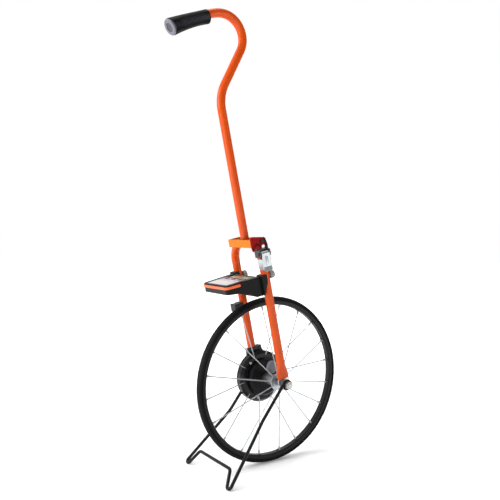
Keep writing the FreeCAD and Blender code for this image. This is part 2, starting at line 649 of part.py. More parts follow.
def make_cover():
    """The fixed cover closes the drum's far side; its lug takes the far leg's end."""
    body = new_body("drum_cover")
    disc = new_sketch(body, "XZ_Plane", "-cover_back")
    draw_circle(disc, "0", "0", "cover_radius")
    pad(body, disc, "cover_back - cover_front")
    lug = new_sketch(body, "XZ_Plane", "-cover_back")
    draw_polygon(lug, [("lug_rear", "lug_root"), ("lug_front", "lug_root"),
                       ("lug_front", "lug_top"), ("lug_rear", "lug_top")])
    pad(body, lug, "cover_back - cover_front")

    def in_corner(edge):
        middle = edge.CenterOfMass
        on_rim = abs(math.hypot(middle.x, middle.z) - value("cover_radius")) < 0.01
        return on_rim and runs_along(edge, ALONG_Y) and middle.z > value("lug_root")
    dress(body, "Fillet", "lug_fillet", in_corner)
    step = new_sketch(body, "XY_Plane", "lug_step")
    draw_polygon(step, [("lug_rear", "cover_back"), ("lug_front", "cover_back"),
                        ("lug_front", "far_plate_inner"), ("lug_rear", "far_plate_inner")])
    pad(body, step, "lug_top - lug_step")
    bore = new_sketch(body, "XZ_Plane", "0")
    draw_circle(bore, "0", "0", "spacer_radius")
    pocket(body, bore, both_ways=True)
    lean_back(keep(body, "drum_cover"))

    half = "board_height / 2"
    board = block("sensor_board_box", ("board_fwd", "cover_front - board_thick", f"-({half})"),
                  ("board_fwd + board_length", "cover_front", half))
    lean_back(keep(gather("sensor_board", [board]), "sensor_board"))
    chip = block("sensor_chip_box",
                 ("chip_fwd", "drum_front + drum_wall + magnet_thick + chip_gap", "-chip_size / 2"),
                 ("chip_fwd + chip_size", "cover_front - board_thick", "chip_size / 2"))
    lean_back(keep(gather("sensor_chip", [chip]), "sensor_chip"))
    screws = []
    for name in ("near", "far"):
        fwd, outside = f"cover_screw_{name}", "far_plate_inner + plate_thick"
        head = rod(f"cover_screw_head_{name}", "cover_screw_head", "screw_proud",
                   (fwd, outside, "cover_screw_up"), ALONG_Y)
        shank = rod(f"cover_screw_shank_{name}", "screw_shank", "plate_thick + cover_screw_grip",
                    (fwd, "far_plate_inner - cover_screw_grip", "cover_screw_up"), ALONG_Y)
        screws.append(fuse(f"cover_screw_{name}_solid", [head, shank]))
    lean_back(keep(gather("cover_screws", screws), "cover_screws"))


# ---------------------------------------------------------------- crown, pivot and latch

def make_crown():
    """A folded channel over both legs' ends, with gussets inside and a taller near cheek."""
    body = new_body("crown_bracket")
    channel = new_sketch(body, "XY_Plane", "crown_bottom")
    inner = "crown_half - crown_sheet"
    draw_polygon(channel, [
        ("crown_rear", "-crown_half"), ("crown_front", "-crown_half"), ("crown_front", f"-({inner})"),
        ("crown_rear + crown_sheet", f"-({inner})"), ("crown_rear + crown_sheet", inner),
        ("crown_front", inner), ("crown_front", "crown_half"), ("crown_rear", "crown_half")])
    pad(body, channel, "crown_top - crown_bottom")

    def far_corner(edge):
        middle = edge.CenterOfMass
        return runs_along(edge, ALONG_Y) and middle.x > value("crown_front") - 0.01 and middle.y > 0
    dress(body, "Fillet", "crown_corner", far_corner)
    for side in (-1, 1):
        gusset = new_sketch(body, "XY_Plane", "crown_bottom")
        rear, middle = "crown_rear + crown_sheet / 2", f"{side} * gusset_inner"
        outside = f"{side} * (gusset_inner + crown_sheet)"
        draw_polygon(gusset, [(rear, middle), ("gusset_front", middle), ("gusset_front", outside),
                              (rear, outside)])
        pad(body, gusset, "crown_top - crown_bottom - gusset_drop")
    cheek = new_sketch(body, "XZ_Plane", inner)
    draw_polygon(cheek, [
        ("crown_rear", "crown_bottom"), ("crown_rear + cheek_step", "cheek_heel"),
        ("cheek_front", "cheek_bottom"), ("cheek_front", "crown_bottom"),
        ("cheek_front - cheek_slant", "crown_top"), ("crown_rear + cheek_peak", "cheek_top"),
        ("crown_rear", "cheek_top - cheek_slant")])
    pad(body, cheek, "crown_sheet")

    def cheek_corner(edge):
        middle = edge.CenterOfMass
        outside = middle.x > value("cheek_front") - 0.01 or middle.z > value("crown_top") + 0.01
        return runs_along(edge, ALONG_Y) and outside and middle.y < 0
    dress(body, "Fillet", "cheek_corner", cheek_corner)
    holes = new_sketch(body, "XZ_Plane", "0")
    draw_circle(holes, "pivot_fwd", "pivot_up", "pivot_radius")
    pocket(body, holes, both_ways=True)
    slot = new_sketch(body, "XZ_Plane", f"{inner} - 1")
    rear, front = "slot_fwd - slot_length / 2", "slot_fwd + slot_length / 2"
    low, high = "slot_up - slot_width / 2", "slot_up + slot_width / 2"
    draw_polygon(slot, [(rear, low), (front, low), (front, high), (rear, high)])
    pocket(body, slot, "crown_sheet + 2", reverse=True)

    def slot_end(edge):
        middle = edge.CenterOfMass
        beside = abs(abs(middle.x - value("slot_fwd")) - value("slot_length") / 2) < 0.01
        level = abs(abs(middle.z - value("slot_up")) - value("slot_width") / 2) < 0.01
        return runs_along(edge, ALONG_Y) and beside and level
    dress(body, "Fillet", "slot_width / 2 - 0.05", slot_end)
    lean_back(keep(body, "crown_bracket"))
    make_catch()

    bumper = block("bumper_box", ("crown_rear + crown_sheet", "-tube_radius", "handle_foot + 1"),
                   ("-tube_radius - bumper_gap", "tube_radius", "crown_top - 1"))
    lean_back(keep(gather("handle_bumper", [bumper]), "handle_bumper"))
    pin = rod("pivot_shaft", "pivot_radius", "2 * crown_half", ("pivot_fwd", "-crown_half", "pivot_up"),
              ALONG_Y)
    heads = [rod(f"pivot_head_{side}", "pivot_head", "pivot_head_height", ("pivot_fwd", start, "pivot_up"),
                 ALONG_Y)
             for side, start in (("near", "-crown_half - pivot_head_height"), ("far", "crown_half"))]
    lean_back(keep(fuse("handle_pin", [pin] + heads), "handle_pin"))


def make_catch():
    """A dark steel hook round the front of the near cheek, for the latch."""
    catch = new_body("latch_catch")
    outline = new_sketch(catch, "XZ_Plane", "crown_half")
    inner, sole, toe = "catch_front - catch_band", "cheek_bottom - catch_sole", "slot_fwd - catch_toe"
    draw_polygon(outline, [
        ("cheek_front - cheek_slant", "crown_top - catch_toe"), (inner, "crown_bottom"),
        (inner, "cheek_bottom + catch_sole"), (toe, "cheek_bottom + 1"), (toe, sole),
        ("catch_front", sole), ("catch_front", "crown_bottom"), ("cheek_front - 1", "crown_top - 1")])
    pad(catch, outline, "catch_thick")

    def outer_corner(edge):
        return runs_along(edge, ALONG_Y) and edge.CenterOfMass.x > value("catch_front") - 0.01
    dress(catch, "Fillet", "catch_band", outer_corner)
    lean_back(keep(catch, "latch_catch"))


def make_latch():
    """A channel-shaped lever on the near leg's top, turning on a fore-and-aft pin held by a yoke."""
    yoke = new_body("latch_yoke")
    outline = new_sketch(yoke, "XY_Plane", "yoke_bottom")
    root, ear, back = "-leg_y + yoke_root", "latch_y - yoke_ear", "latch_y + latch_knuckle + knuckle_play"
    draw_polygon(outline, [
        ("-yoke_half", root), ("-yoke_half", ear), ("-yoke_slot", ear), ("-yoke_slot", back),
        ("yoke_slot", back), ("yoke_slot", ear), ("yoke_half", ear), ("yoke_half", root)])
    pad(yoke, outline, "yoke_top - yoke_bottom")

    def ear_corner(edge):
        return runs_along(edge, ALONG_X) and edge.CenterOfMass.y < value(ear) + 0.1
    dress(yoke, "Fillet", "yoke_corner", ear_corner)
    hole = new_sketch(yoke, "YZ_Plane", "0")
    draw_circle(hole, "latch_y", "latch_up", "latch_pin")
    pocket(yoke, hole, both_ways=True)
    lean_back(keep(yoke, "latch_yoke"))

    lever = new_body("latch_lever")
    plate = new_sketch(lever, "YZ_Plane", "0")
    draw_polygon(plate, [
        ("latch_outer", "latch_up + 1"), ("latch_outer", "latch_tip + tip_length"),
        ("latch_outer - tip_flare", "latch_tip"), ("latch_inner - tip_flare", "latch_tip"),
        ("latch_inner", "latch_tip + tip_length"), ("latch_inner", "latch_up + 1")])
    pad(lever, plate, "2 * latch_half", both_ways=True)
    knuckle = new_sketch(lever, "YZ_Plane", "0")
    draw_circle(knuckle, "latch_y", "latch_up", "latch_knuckle")
    pad(lever, knuckle, "2 * latch_half", both_ways=True)

    def tip_corner(edge):
        middle = edge.CenterOfMass
        at_tip = abs(middle.z - value("latch_tip")) < 0.01
        beside = abs(middle.x) > value("latch_half") - 0.01
        return edge.Curve.TypeId == "Part::GeomLine" and at_tip and beside
    dress(lever, "Fillet", "tip_round", tip_corner)
    channel = new_sketch(lever, "XY_Plane", "channel_bottom")
    inside = "channel_half - channel_sheet"
    draw_polygon(channel, [
        ("-channel_half", "latch_outer"), ("channel_half", "latch_outer"), ("channel_half", "channel_inner"),
        (inside, "channel_inner"), (inside, "latch_inner"), (f"-({inside})", "latch_inner"),
        (f"-({inside})", "channel_inner"), ("-channel_half", "channel_inner")])
    pad(lever, channel, "channel_top - channel_bottom")

    def flange_corner(edge):
        return runs_along(edge, ALONG_X) and edge.CenterOfMass.y > value("channel_inner") - 0.01
    dress(lever, "Fillet", "flange_round", flange_corner)
    bore = new_sketch(lever, "YZ_Plane", "0")
    draw_circle(bore, "latch_y", "latch_up", "latch_pin + running_gap")
    pocket(lever, bore, both_ways=True)
    lean_back(keep(lever, "latch_lever"))

    pin = rod("latch_pin_shaft", "latch_pin", "2 * (yoke_half + pin_proud)",
              ("-yoke_half - pin_proud", "latch_y", "latch_up"),
              ALONG_X)
    lean_back(keep(gather("latch_pin", [pin]), "latch_pin"))


# ---------------------------------------------------------------- handle

HANDLE_START = ("0", "handle_foot")
HANDLE_STEPS = [("run", "handle_bend_up - handle_foot"),
                ("arc", "handle_bend_radius", "-handle_bend_angle"), ("run", "reach_length"),
                ("arc", "crook_radius", "crook_angle"), ("arc", "top_radius", "top_angle")]
REAR_BEND = ("arc", "rear_radius", "rear_angle")


def make_handle():
    body = new_body("handle_tube")
    spine = new_sketch(body, "XZ_Plane")
    draw_walk(spine, HANDLE_START, "90", HANDLE_STEPS + [REAR_BEND])
    ring = new_sketch(body, "XY_Plane", "handle_foot")
    draw_circle(ring, "0", "0", "tube_radius")
    draw_circle(ring, "0", "0", "tube_radius - tube_wall")
    tube = body.newObject("PartDesign::AdditivePipe", "tube")
    tube.Profile = ring
    tube.Spine = (spine, [])
    doc.recompute()
    notch = new_sketch(body, "XZ_Plane", "0")
    draw_circle(notch, "pivot_fwd", "pivot_up", "barrel_outer")
    pocket(body, notch, both_ways=True)
    lean_back(keep(body, "handle_tube"))

    outside = rod("barrel_out", "barrel_outer", "2 * (gusset_inner - barrel_play)",
                  ("pivot_fwd", "barrel_play - gusset_inner", "pivot_up"), ALONG_Y)
    inside = rod("barrel_in", "pivot_radius + running_gap", "2 * gusset_inner",
                 ("pivot_fwd", "-gusset_inner", "pivot_up"), ALONG_Y)
    lean_back(keep(cut("handle_barrel", outside, inside), "handle_barrel"))
    make_grip()


def along_grip(thing, turned):
    """Place a piece on the grip's bend, its first axis along the tube, after the given turn."""
    steps = HANDLE_STEPS + [("arc", "rear_radius", turned)]
    _, (fwd, up), heading = walk(HANDLE_START, "90", steps)
    lean = math.radians(value("lean"))
    base = Vector(value("axle_x") + fwd * math.cos(lean) - up * math.sin(lean), 0,
                  value("axle_z") + fwd * math.sin(lean) + up * math.cos(lean))
    thing.Placement = Placement(base, Rotation(Vector(0, 1, 0), -(heading + value("lean"))))


def draw_ring(body, share, radius, drop="0"):
    """Draw a circle square to the grip's bend, at a share of its length, dropped below the tube's line."""
    sketch = new_sketch(body, "YZ_Plane")
    turn = f"(grip_to - grip_from) * {share} * 1 deg"
    bind(sketch, "AttachmentOffset.Base.y", f"rear_radius * (1 - cos({turn}))")
    bind(sketch, "AttachmentOffset.Base.z", f"rear_radius * sin({turn})")
    degrees = value(f"(grip_to - grip_from) * {share}")
    sketch.AttachmentOffset = Placement(sketch.AttachmentOffset.Base, Rotation(-ALONG_X, degrees))
    bind(sketch, "AttachmentOffset.Rotation.Angle", turn)
    doc.recompute()
    draw_circle(sketch, "0", drop, radius)
    return sketch


def loft(body, kind, rings):
    feature = body.newObject(f"PartDesign::{kind}", "loft")
    feature.Profile = rings[0]
    feature.Sections = rings[1:]
    doc.recompute()


def make_grip():
    """A flared rubber grip that follows the tube's last bend, and a two-part cap on its end."""
    grip = new_body("grip")
    rings = ((0, "grip_front", "front_drop"), (0.3, "grip_waist", "waist_drop"),
             (0.6, "grip_palm", "palm_drop"), (1, "grip_end", "0"))
    loft(grip, "AdditiveLoft", [draw_ring(grip, *ring) for ring in rings])
    bore = [draw_ring(grip, share, "tube_radius + grip_wall_play") for share in (0, 0.25, 0.5, 0.75, 1)]
    loft(grip, "SubtractiveLoft", bore)
    along_grip(keep(grip, "grip"), "grip_from")
    cap = lathe("grip_cap", [
        ("-plug_depth", "0"), ("-plug_depth", "plug_radius"), ("0", "plug_radius"),
        ("0", "cap_disc"), ("cap_thick - cap_edge", "cap_disc"), ("cap_thick", "cap_disc - cap_edge"),
        ("cap_thick", "cap_eye"), ("cap_floor", "cap_eye"), ("cap_floor", "0")], "XZ_Plane")
    along_grip(cap, "grip_to")
    insert = lathe("grip_cap_insert", [
        ("cap_floor", "0"), ("cap_floor", "cap_eye"), ("cap_floor + insert_thick", "cap_eye"),
        ("cap_floor + insert_thick", "0")], "XZ_Plane")
    along_grip(insert, "grip_to")


# ---------------------------------------------------------------- counter

def plan_corners(grow="0"):
    """Return the counter's plan outline, grown sideways and rearwards."""
    return [("case_front", f"-(case_front_half + {grow})"), ("case_front", f"case_front_half + {grow}"),
            (f"case_rear - {grow}", f"case_rear_half + {grow}"),
            (f"case_rear - {grow}", f"-(case_rear_half + {grow})")]


def rear_corner(edge):
    return runs_along(edge, ALONG_Z) and edge.CenterOfMass.x < value("case_rear + 3")


def recess(body, low, high, depth_from, reverse=False):
    """Cut a rectangular recess down from the plane at depth_from to the body's near side."""
    sketch = new_sketch(body, "XY_Plane", depth_from)
    (x0, y0), (x1, y1) = low, high
    draw_polygon(sketch, [(x0, y0), (x1, y0), (x1, y1), (x0, y1)])
    pocket(body, sketch, "cut_depth", reverse=not reverse)


def make_case():
    lower = new_body("case_lower")
    plan = new_sketch(lower, "XY_Plane", "belly")
    draw_polygon(plan, plan_corners())
    pad(lower, plan, "case_split - belly")
    dress(lower, "Fillet", "corner", rear_corner)
    profile = new_sketch(lower, "XZ_Plane", "0")
    draw_polygon(profile, [
        ("case_rear - margin", "belly - margin"), ("case_rear - margin", "case_rear_bottom"),
        ("case_rear", "case_rear_bottom"), ("slope_rear", "case_rear_bottom - case_wall"),
        ("slope_front", "slope_up"), ("belly_rear", "belly"), ("belly_rear", "belly - margin")])
    pocket(lower, profile, both_ways=True)
    front = "case_front - case_wall"
    recess(lower, ("case_rear + case_wall", "-well_half"), (front, "well_half"), "case_rear_bottom + 2.5")
    recess(lower, ("well_rear", "-well_half"), (front, "well_half"), "well_floor")
    recess(lower, ("well_rear", "-bay_half"), (front, "bay_half"), "belly + case_wall")
    door_bay = new_sketch(lower, "XY_Plane", "belly + case_wall")
    rear, ahead, far = "door_rear - bay_play", "case_front - 2 + bay_play", "door_far + bay_play"
    draw_polygon(door_bay, [(rear, "bay_near"), (ahead, "bay_near"), (ahead, far), (rear, far)])
    pocket(lower, door_bay, "cut_depth")
    lean_back(keep(lower, "case_lower"))

    door = new_body("battery_door")
    outline = new_sketch(door, "XY_Plane", "belly + door_play")
    draw_polygon(outline, [("door_rear", "door_near"), ("case_front - 2", "door_near"),
                           ("case_front - 2", "door_far"), ("door_rear", "door_far")])
    pad(door, outline, "door_thick")
    side = new_sketch(door, "XZ_Plane", "0")
    draw_polygon(side, [
        ("slope_front - 1", "belly - 1"), ("slope_front - 1", "slope_up + 2 * door_play"),
        ("slope_front", "slope_up + 2 * door_play"), ("belly_rear", "belly + door_play + 0.1"),
        ("belly_rear", "belly - 1")])
    pocket(door, side, both_ways=True)
    lean_back(keep(door, "battery_door"))

    upper = new_body("case_upper")
    plan = new_sketch(upper, "XY_Plane", "case_split")
    draw_polygon(plan, plan_corners())
    pad(upper, plan, "case_top - case_split")
    dress(upper, "Fillet", "corner", rear_corner)

    def top_rim(edge):
        return edge.BoundBox.ZMin > value("case_top") - 0.01
    dress(upper, "Chamfer", "rim_bevel", top_rim)
    recess(upper, ("window_rear", "-window_half"), ("window_front", "window_half"), "case_split - 1")
    recess(upper, ("keys_rear", "-keys_half"), ("keys_front", "keys_half"), "panel_floor")
    under = new_sketch(upper, "XY_Plane", "case_split")
    draw_polygon(under, [("keys_rear", "-keys_half"), ("keys_front", "-keys_half"),
                         ("keys_front", "keys_half"), ("keys_rear", "keys_half")])
    pocket(upper, under, "under_floor", reverse=True)
    posts = new_sketch(upper, "XY_Plane", "case_split")
    for place in range(-1, 2):
        draw_circle(posts, "button_fwd", f"{place} * button_pitch", "post_radius")
    pocket(upper, posts, "cut_depth", reverse=True)
    lean_back(keep(upper, "case_upper"))


def make_trim():
    """A raised strip round the counter's rear end."""
    body = new_body("case_trim")
    outer = new_sketch(body, "XY_Plane", "trim_bottom")
    draw_polygon(outer, plan_corners("trim_out"))
    pad(body, outer, "trim_top - trim_bottom")
    dress(body, "Fillet", "corner + trim_out", rear_corner)
    front = new_sketch(body, "XY_Plane", "trim_bottom")
    beyond, ahead = "case_front_half + margin", "case_front + margin"
    draw_polygon(front, [("trim_front", f"-({beyond})"), (ahead, f"-({beyond})"), (ahead, beyond),
                         ("trim_front", beyond)])
    pocket(body, front, "cut_depth", reverse=True)
    lean_back(keep(cut("case_trim_ring", body, make_plug()), "case_trim"))


def make_plug():
    """The counter's own outline as a tall block, to hollow out what fits round it."""
    body = new_body("plan_plug")
    plan = new_sketch(body, "XY_Plane", "belly")
    draw_polygon(plan, plan_corners())
    pad(body, plan, "cut_depth")
    dress(body, "Fillet", "corner", rear_corner)
    return body


def make_face():
    """Window, display module, key panel and keys."""
    window = block("window_box", ("window_rear + panel_play", "panel_play - window_half", "lcd_top"),
                   ("window_front - panel_play", "window_half - panel_play", "case_top - panel_play"))
    lean_back(keep(gather("display_window", [window]), "display_window"))
    module = block("lcd_box", ("window_rear + 1", "2 - window_half", "lcd_top - lcd_thick"),
                   ("window_front - 1", "window_half - 2", "lcd_top"))
    lean_back(keep(gather("lcd_module", [module]), "lcd_module"))
    board = block("main_board_box", ("case_rear + 5", "-board_half", "main_board_top - board_thick"),
                  ("case_front - 5", "board_half", "main_board_top"))
    lean_back(keep(gather("main_board", [board]), "main_board"))

    panel = new_body("key_panel")
    outline = new_sketch(panel, "XY_Plane", "panel_floor")
    rear, front, side = "keys_rear + panel_play", "keys_front - panel_play", "keys_half - panel_play"
    draw_polygon(outline, [(rear, f"-({side})"), (front, f"-({side})"), (front, side), (rear, side)])
    pad(panel, outline, "panel_top - panel_floor")
    holes = new_sketch(panel, "XY_Plane", "panel_floor")
    for place in range(-1, 2):
        draw_circle(holes, "button_fwd", f"{place} * button_pitch", "button_radius + running_gap")
    pocket(panel, holes, "cut_depth", reverse=True)
    lean_back(keep(panel, "key_panel"))

    for place, label in ((-1, "button_reset"), (0, "button_hold"), (1, "button_power")):
        y = f"{place} * button_pitch"
        seat = "panel_floor + button_travel + 0.1"
        crown = rod(f"{label}_crown", "button_radius", "button_thick + button_travel",
                    ("button_fwd", y, seat))
        stem = rod(f"{label}_stem", "stem_radius", "stem_length",
                   ("button_fwd", y, f"{seat} - stem_length + 0.8"))
        lean_back(keep(fuse(label, [crown, stem]), label))


def make_mounting():
    """Saddles behind the legs, and the bolts that clamp them from the front."""
    for side, label, height in ((-1, "saddle_near", "near_bolt_up"), (1, "saddle_far", "far_bolt_up")):
        body = new_body(label)
        middle = f"{-side} * (saddle_inner + saddle_outer) / 2"
        profile = new_sketch(body, "XZ_Plane", middle)
        draw_polygon(profile, [("case_front", "belly + 1"), ("saddle_front", "saddle_toe"),
                               ("saddle_front", "saddle_top"), ("case_front", "saddle_top")])
        pad(body, profile, "saddle_outer - saddle_inner", both_ways=True)

        def upper_corner(edge):
            return runs_along(edge, ALONG_Y) and edge.CenterOfMass.z > value("saddle_top - 1")
        dress(body, "Fillet", "saddle_corner", upper_corner)
        groove = new_sketch(body, "XY_Plane", "belly")
        draw_circle(groove, "0", f"{side} * leg_y", "tube_radius")
        pocket(body, groove, "cut_depth", reverse=True)
        bolt_hole = new_sketch(body, "YZ_Plane", "bolt_hole_front")
        draw_circle(bolt_hole, f"{side} * leg_y", height, "bolt_shank")
        pocket(body, bolt_hole, "bolt_hole_front - bolt_back + 1")
        lean_back(keep(body, label))
    bolts = []
    for side, height in ((-1, "near_bolt_up"), (1, "far_bolt_up")):
        y = f"{side} * leg_y"
        knob = rod(f"knob_{side}", "knob_radius", "knob_front - tube_radius - collar_height",
                   ("tube_radius + collar_height", y, height), ALONG_X)
        collar = rod(f"collar_{side}", "collar_radius", "collar_height", ("tube_radius", y, height), ALONG_X)
        shank = rod(f"shank_{side}", "bolt_shank", "tube_radius - bolt_back", ("bolt_back", y, height),
                    ALONG_X)
        bolts.append(fuse(f"clamp_bolt_{side}", [knob, collar, shank]))
    lean_back(keep(gather("clamp_bolts", bolts), "clamp_bolts"))


def make_batteries():
    cells = []
    for step in range(2):
        base = (f"cell_front - cell_radius - {step} * cell_stagger", "-cell_length / 2",
                f"cell_floor + cell_radius + {step} * (2 * cell_radius + cell_gap)")
        cells.append(rod(f"cell_{step}", "cell_radius", "cell_length", base, ALONG_Y))
    lean_back(keep(gather("battery_cells", cells), "battery_cells"))


def make_clip():
    """A plastic block behind the far leg, notched for the springy wire of the folded stand."""
    body = new_body("stand_clip")
    outline = new_sketch(body, "XY_Plane", "clip_bottom")
    bite = "clip_outer - clip_bite"
    draw_polygon(outline, [
        ("clip_lap - tube_radius", "leg_y - clip_root"), ("clip_lap - tube_radius", "clip_outer"),
        ("clip_notch + clip_bite", "clip_outer"), ("clip_notch + clip_bite", bite),
        ("clip_notch - clip_bite", bite), ("clip_notch - clip_bite", "clip_outer"),
        ("clip_rear", "clip_outer"), ("clip_rear", "leg_y - clip_root")])
    pad(body, outline, "clip_top - clip_bottom")
    lean_back(keep(body, "stand_clip"))


# ---------------------------------------------------------------- stand

def rounded_wire(corners, radii):
    """Join straight runs with tangent arcs; corners are points in space."""
    edges = []
    start = corners[0]
    for before, corner, after, radius in zip(corners, corners[1:], corners[2:], radii):
        inward = (before - corner).normalize()
        outward = (after - corner).normalize()
        half = inward.getAngle(outward) / 2
        setback = radius / math.tan(half)
        bisector = (inward + outward).normalize()
        enter = corner + inward * setback
        leave = corner + outward * setback
        middle = corner + bisector * (radius / math.sin(half) - radius)
        edges.append(Part.LineSegment(start, enter).toShape())
        edges.append(Part.Arc(enter, middle, leave).toShape())
        start = leave
    edges.append(Part.LineSegment(start, corners[-1]).toShape())
    return edges


def eye_edges(knee, eye_y):
    """An open loop round the axle that leaves on a tangent towards the knee."""
    radius = value("axle_radius + running_gap + wire_radius")
    centre = Vector(0, eye_y, 0)
    reach = Vector(knee.x, 0, knee.z)
    toward = math.atan2(reach.z, reach.x)
    touch = toward - math.acos(radius / reach.Length)
    point = centre + Vector(math.cos(touch), 0, math.sin(touch)) * radius
    start_angle = touch - math.radians(270)
    middle_angle = (touch + start_angle) / 2
    spots = [centre + Vector(math.cos(a), 0, math.sin(a)) * radius for a in (start_angle, middle_angle)]
    return Part.Arc(spots[0], spots[1], point).toShape(), point


def make_stand():
    """One bent wire: an eye on the axle, a leg with a knee, a narrow foot, a crossbar, and back."""
    halves = []
    for side, name in ((-1, "near"), (1, "far")):
        knee = Vector(*[value(f"{name}_knee_{letter}") for letter in "xyz"])
        eye, start = eye_edges(knee, value(f"{name}_eye_y"))
        corners = [start, knee]
        for x, y, z in (("foot_x", "foot_outer", "foot_z"), ("foot_x", "foot_inner", "foot_z"),
                        ("corner_x", "corner_y", "corner_z")):
            corners.append(Vector(value(x), side * value(y), value(z)))
        corners.append(Vector(value("corner_x"), 0, value("corner_z")))
        radii = [value(r) for r in ("knee_radius", "foot_radius", "foot_radius", "corner_radius")]
        halves.append((eye, rounded_wire(corners, radii)))
    near_eye, near_edges = halves[0]
    far_eye, far_edges = halves[1]
    path = Part.Wire([near_eye] + near_edges + far_edges[::-1] + [far_eye])
    start = path.OrderedVertexes[0].Point
    first = path.OrderedEdges[0]
    tangent = first.tangentAt(first.FirstParameter)
    ring = Part.Wire(Part.Circle(start, -tangent, value("wire_radius")).toShape())
    stand = doc.addObject("Part::Feature", "stand_wire_solid")
    stand.Shape = path.makePipeShell([ring], True, True)
    expected = path.Length * math.pi * value("wire_radius") ** 2
    if abs(stand.Shape.Volume / expected - 1) > 0.01:
        raise RuntimeError("the stand's wire is not a clean sweep of its path")
    stand_upright(keep(stand, "stand_wire"))


# ---------------------------------------------------------------- build, check and write

def check_document():
    """Stop on any failed object or bad piece."""
    for thing in doc.Objects:
        if any(word in thing.State for word in ("Invalid", "Error")):
            group = thing.getParentGeoFeatureGroup()
            owner = group.Label if group else "the document"
            raise RuntimeError(f"{thing.Name} in {owner} is {thing.State}")
    for piece in pieces:
        if piece.Shape.isNull() or not piece.Shape.isValid() or not piece.Shape.Solids:
            raise RuntimeError(f"{piece.Label} has a bad shape")


def write_steps():
    os.makedirs(STEP_FOLDER, exist_ok=True)
    for piece in pieces:
        piece.Shape.exportStep(os.path.join(STEP_FOLDER, f"{piece.Label}.step"))


fill_sheet()
make_tyre()
make_rim()
make_spokes()
make_hub()
make_drum()
make_axle()
make_fork()
make_dropouts()
make_cover()
make_crown()
make_latch()
make_handle()
make_case()
make_trim()
make_face()
make_mounting()
make_batteries()
make_clip()
make_stand()
doc.recompute()
check_document()
write_steps()
print(len(pieces), "pieces")
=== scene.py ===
"""Detail, materials, light and camera for the measuring wheel.

Places on the leaning frame are (forward, left, up) in millimetres from the axle's middle, with up
along the legs. Places on the wheel are (forward, left, up) in millimetres from the same point, with
up vertical. Everything is turned into metres as it is made.
"""
import json
import math

import bmesh
import bpy
from mathutils import Matrix, Vector


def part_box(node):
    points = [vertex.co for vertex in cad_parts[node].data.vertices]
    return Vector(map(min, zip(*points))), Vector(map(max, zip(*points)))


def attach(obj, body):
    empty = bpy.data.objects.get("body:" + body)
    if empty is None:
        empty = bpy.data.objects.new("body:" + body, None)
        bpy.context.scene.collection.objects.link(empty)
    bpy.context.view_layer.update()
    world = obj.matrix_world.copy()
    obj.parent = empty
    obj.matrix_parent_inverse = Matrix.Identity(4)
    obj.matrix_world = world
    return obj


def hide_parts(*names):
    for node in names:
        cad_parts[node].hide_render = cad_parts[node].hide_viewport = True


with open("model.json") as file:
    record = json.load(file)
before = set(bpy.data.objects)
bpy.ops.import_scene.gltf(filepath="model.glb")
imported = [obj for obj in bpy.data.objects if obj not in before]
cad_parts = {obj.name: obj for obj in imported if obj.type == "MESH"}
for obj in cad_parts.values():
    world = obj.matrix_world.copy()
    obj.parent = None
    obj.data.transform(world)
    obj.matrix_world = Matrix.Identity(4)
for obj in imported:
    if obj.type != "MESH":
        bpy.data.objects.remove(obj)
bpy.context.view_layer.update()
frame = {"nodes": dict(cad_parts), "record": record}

RECORD = frame["record"]
SLOT_OF = {part["node"]: part["material_slot"] for part in RECORD["subparts"]}
MM = 0.001
LEAN = math.radians(12)
RIM_LOW, RIM_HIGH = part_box("rim")
AXLE = (Vector(RIM_LOW) + Vector(RIM_HIGH)) / 2
ON_WHEEL = Matrix.Translation(AXLE) @ Matrix.Scale(MM, 4)
ON_FRAME = Matrix.Translation(AXLE) @ Matrix.Rotation(-LEAN, 4, "Y") @ Matrix.Scale(MM, 4)
FACING_NEAR = Matrix.Rotation(math.radians(90), 4, "X")
FACING_FAR = Matrix.Rotation(math.radians(-90), 4, "X")
FACING_FRONT = Matrix.Rotation(math.radians(90), 4, "Y")
FACING_REAR = Matrix.Rotation(math.radians(-90), 4, "Y")
FACING_DOWN = Matrix.Rotation(math.radians(180), 4, "X")


def shift(fwd, left, up):
    """A move forward, to the left and up."""
    return Matrix.Translation((fwd, left, up))


# ---------------------------------------------------------------- finishes

def rgb(hexed):
    """Turn a written colour into linear red, green, blue and full alpha."""
    parts = [int(hexed[i:i + 2], 16) / 255 for i in (0, 2, 4)]
    linear = [c / 12.92 if c <= 0.04045 else ((c + 0.055) / 1.055) ** 2.4 for c in parts]
    return (*linear, 1.0)


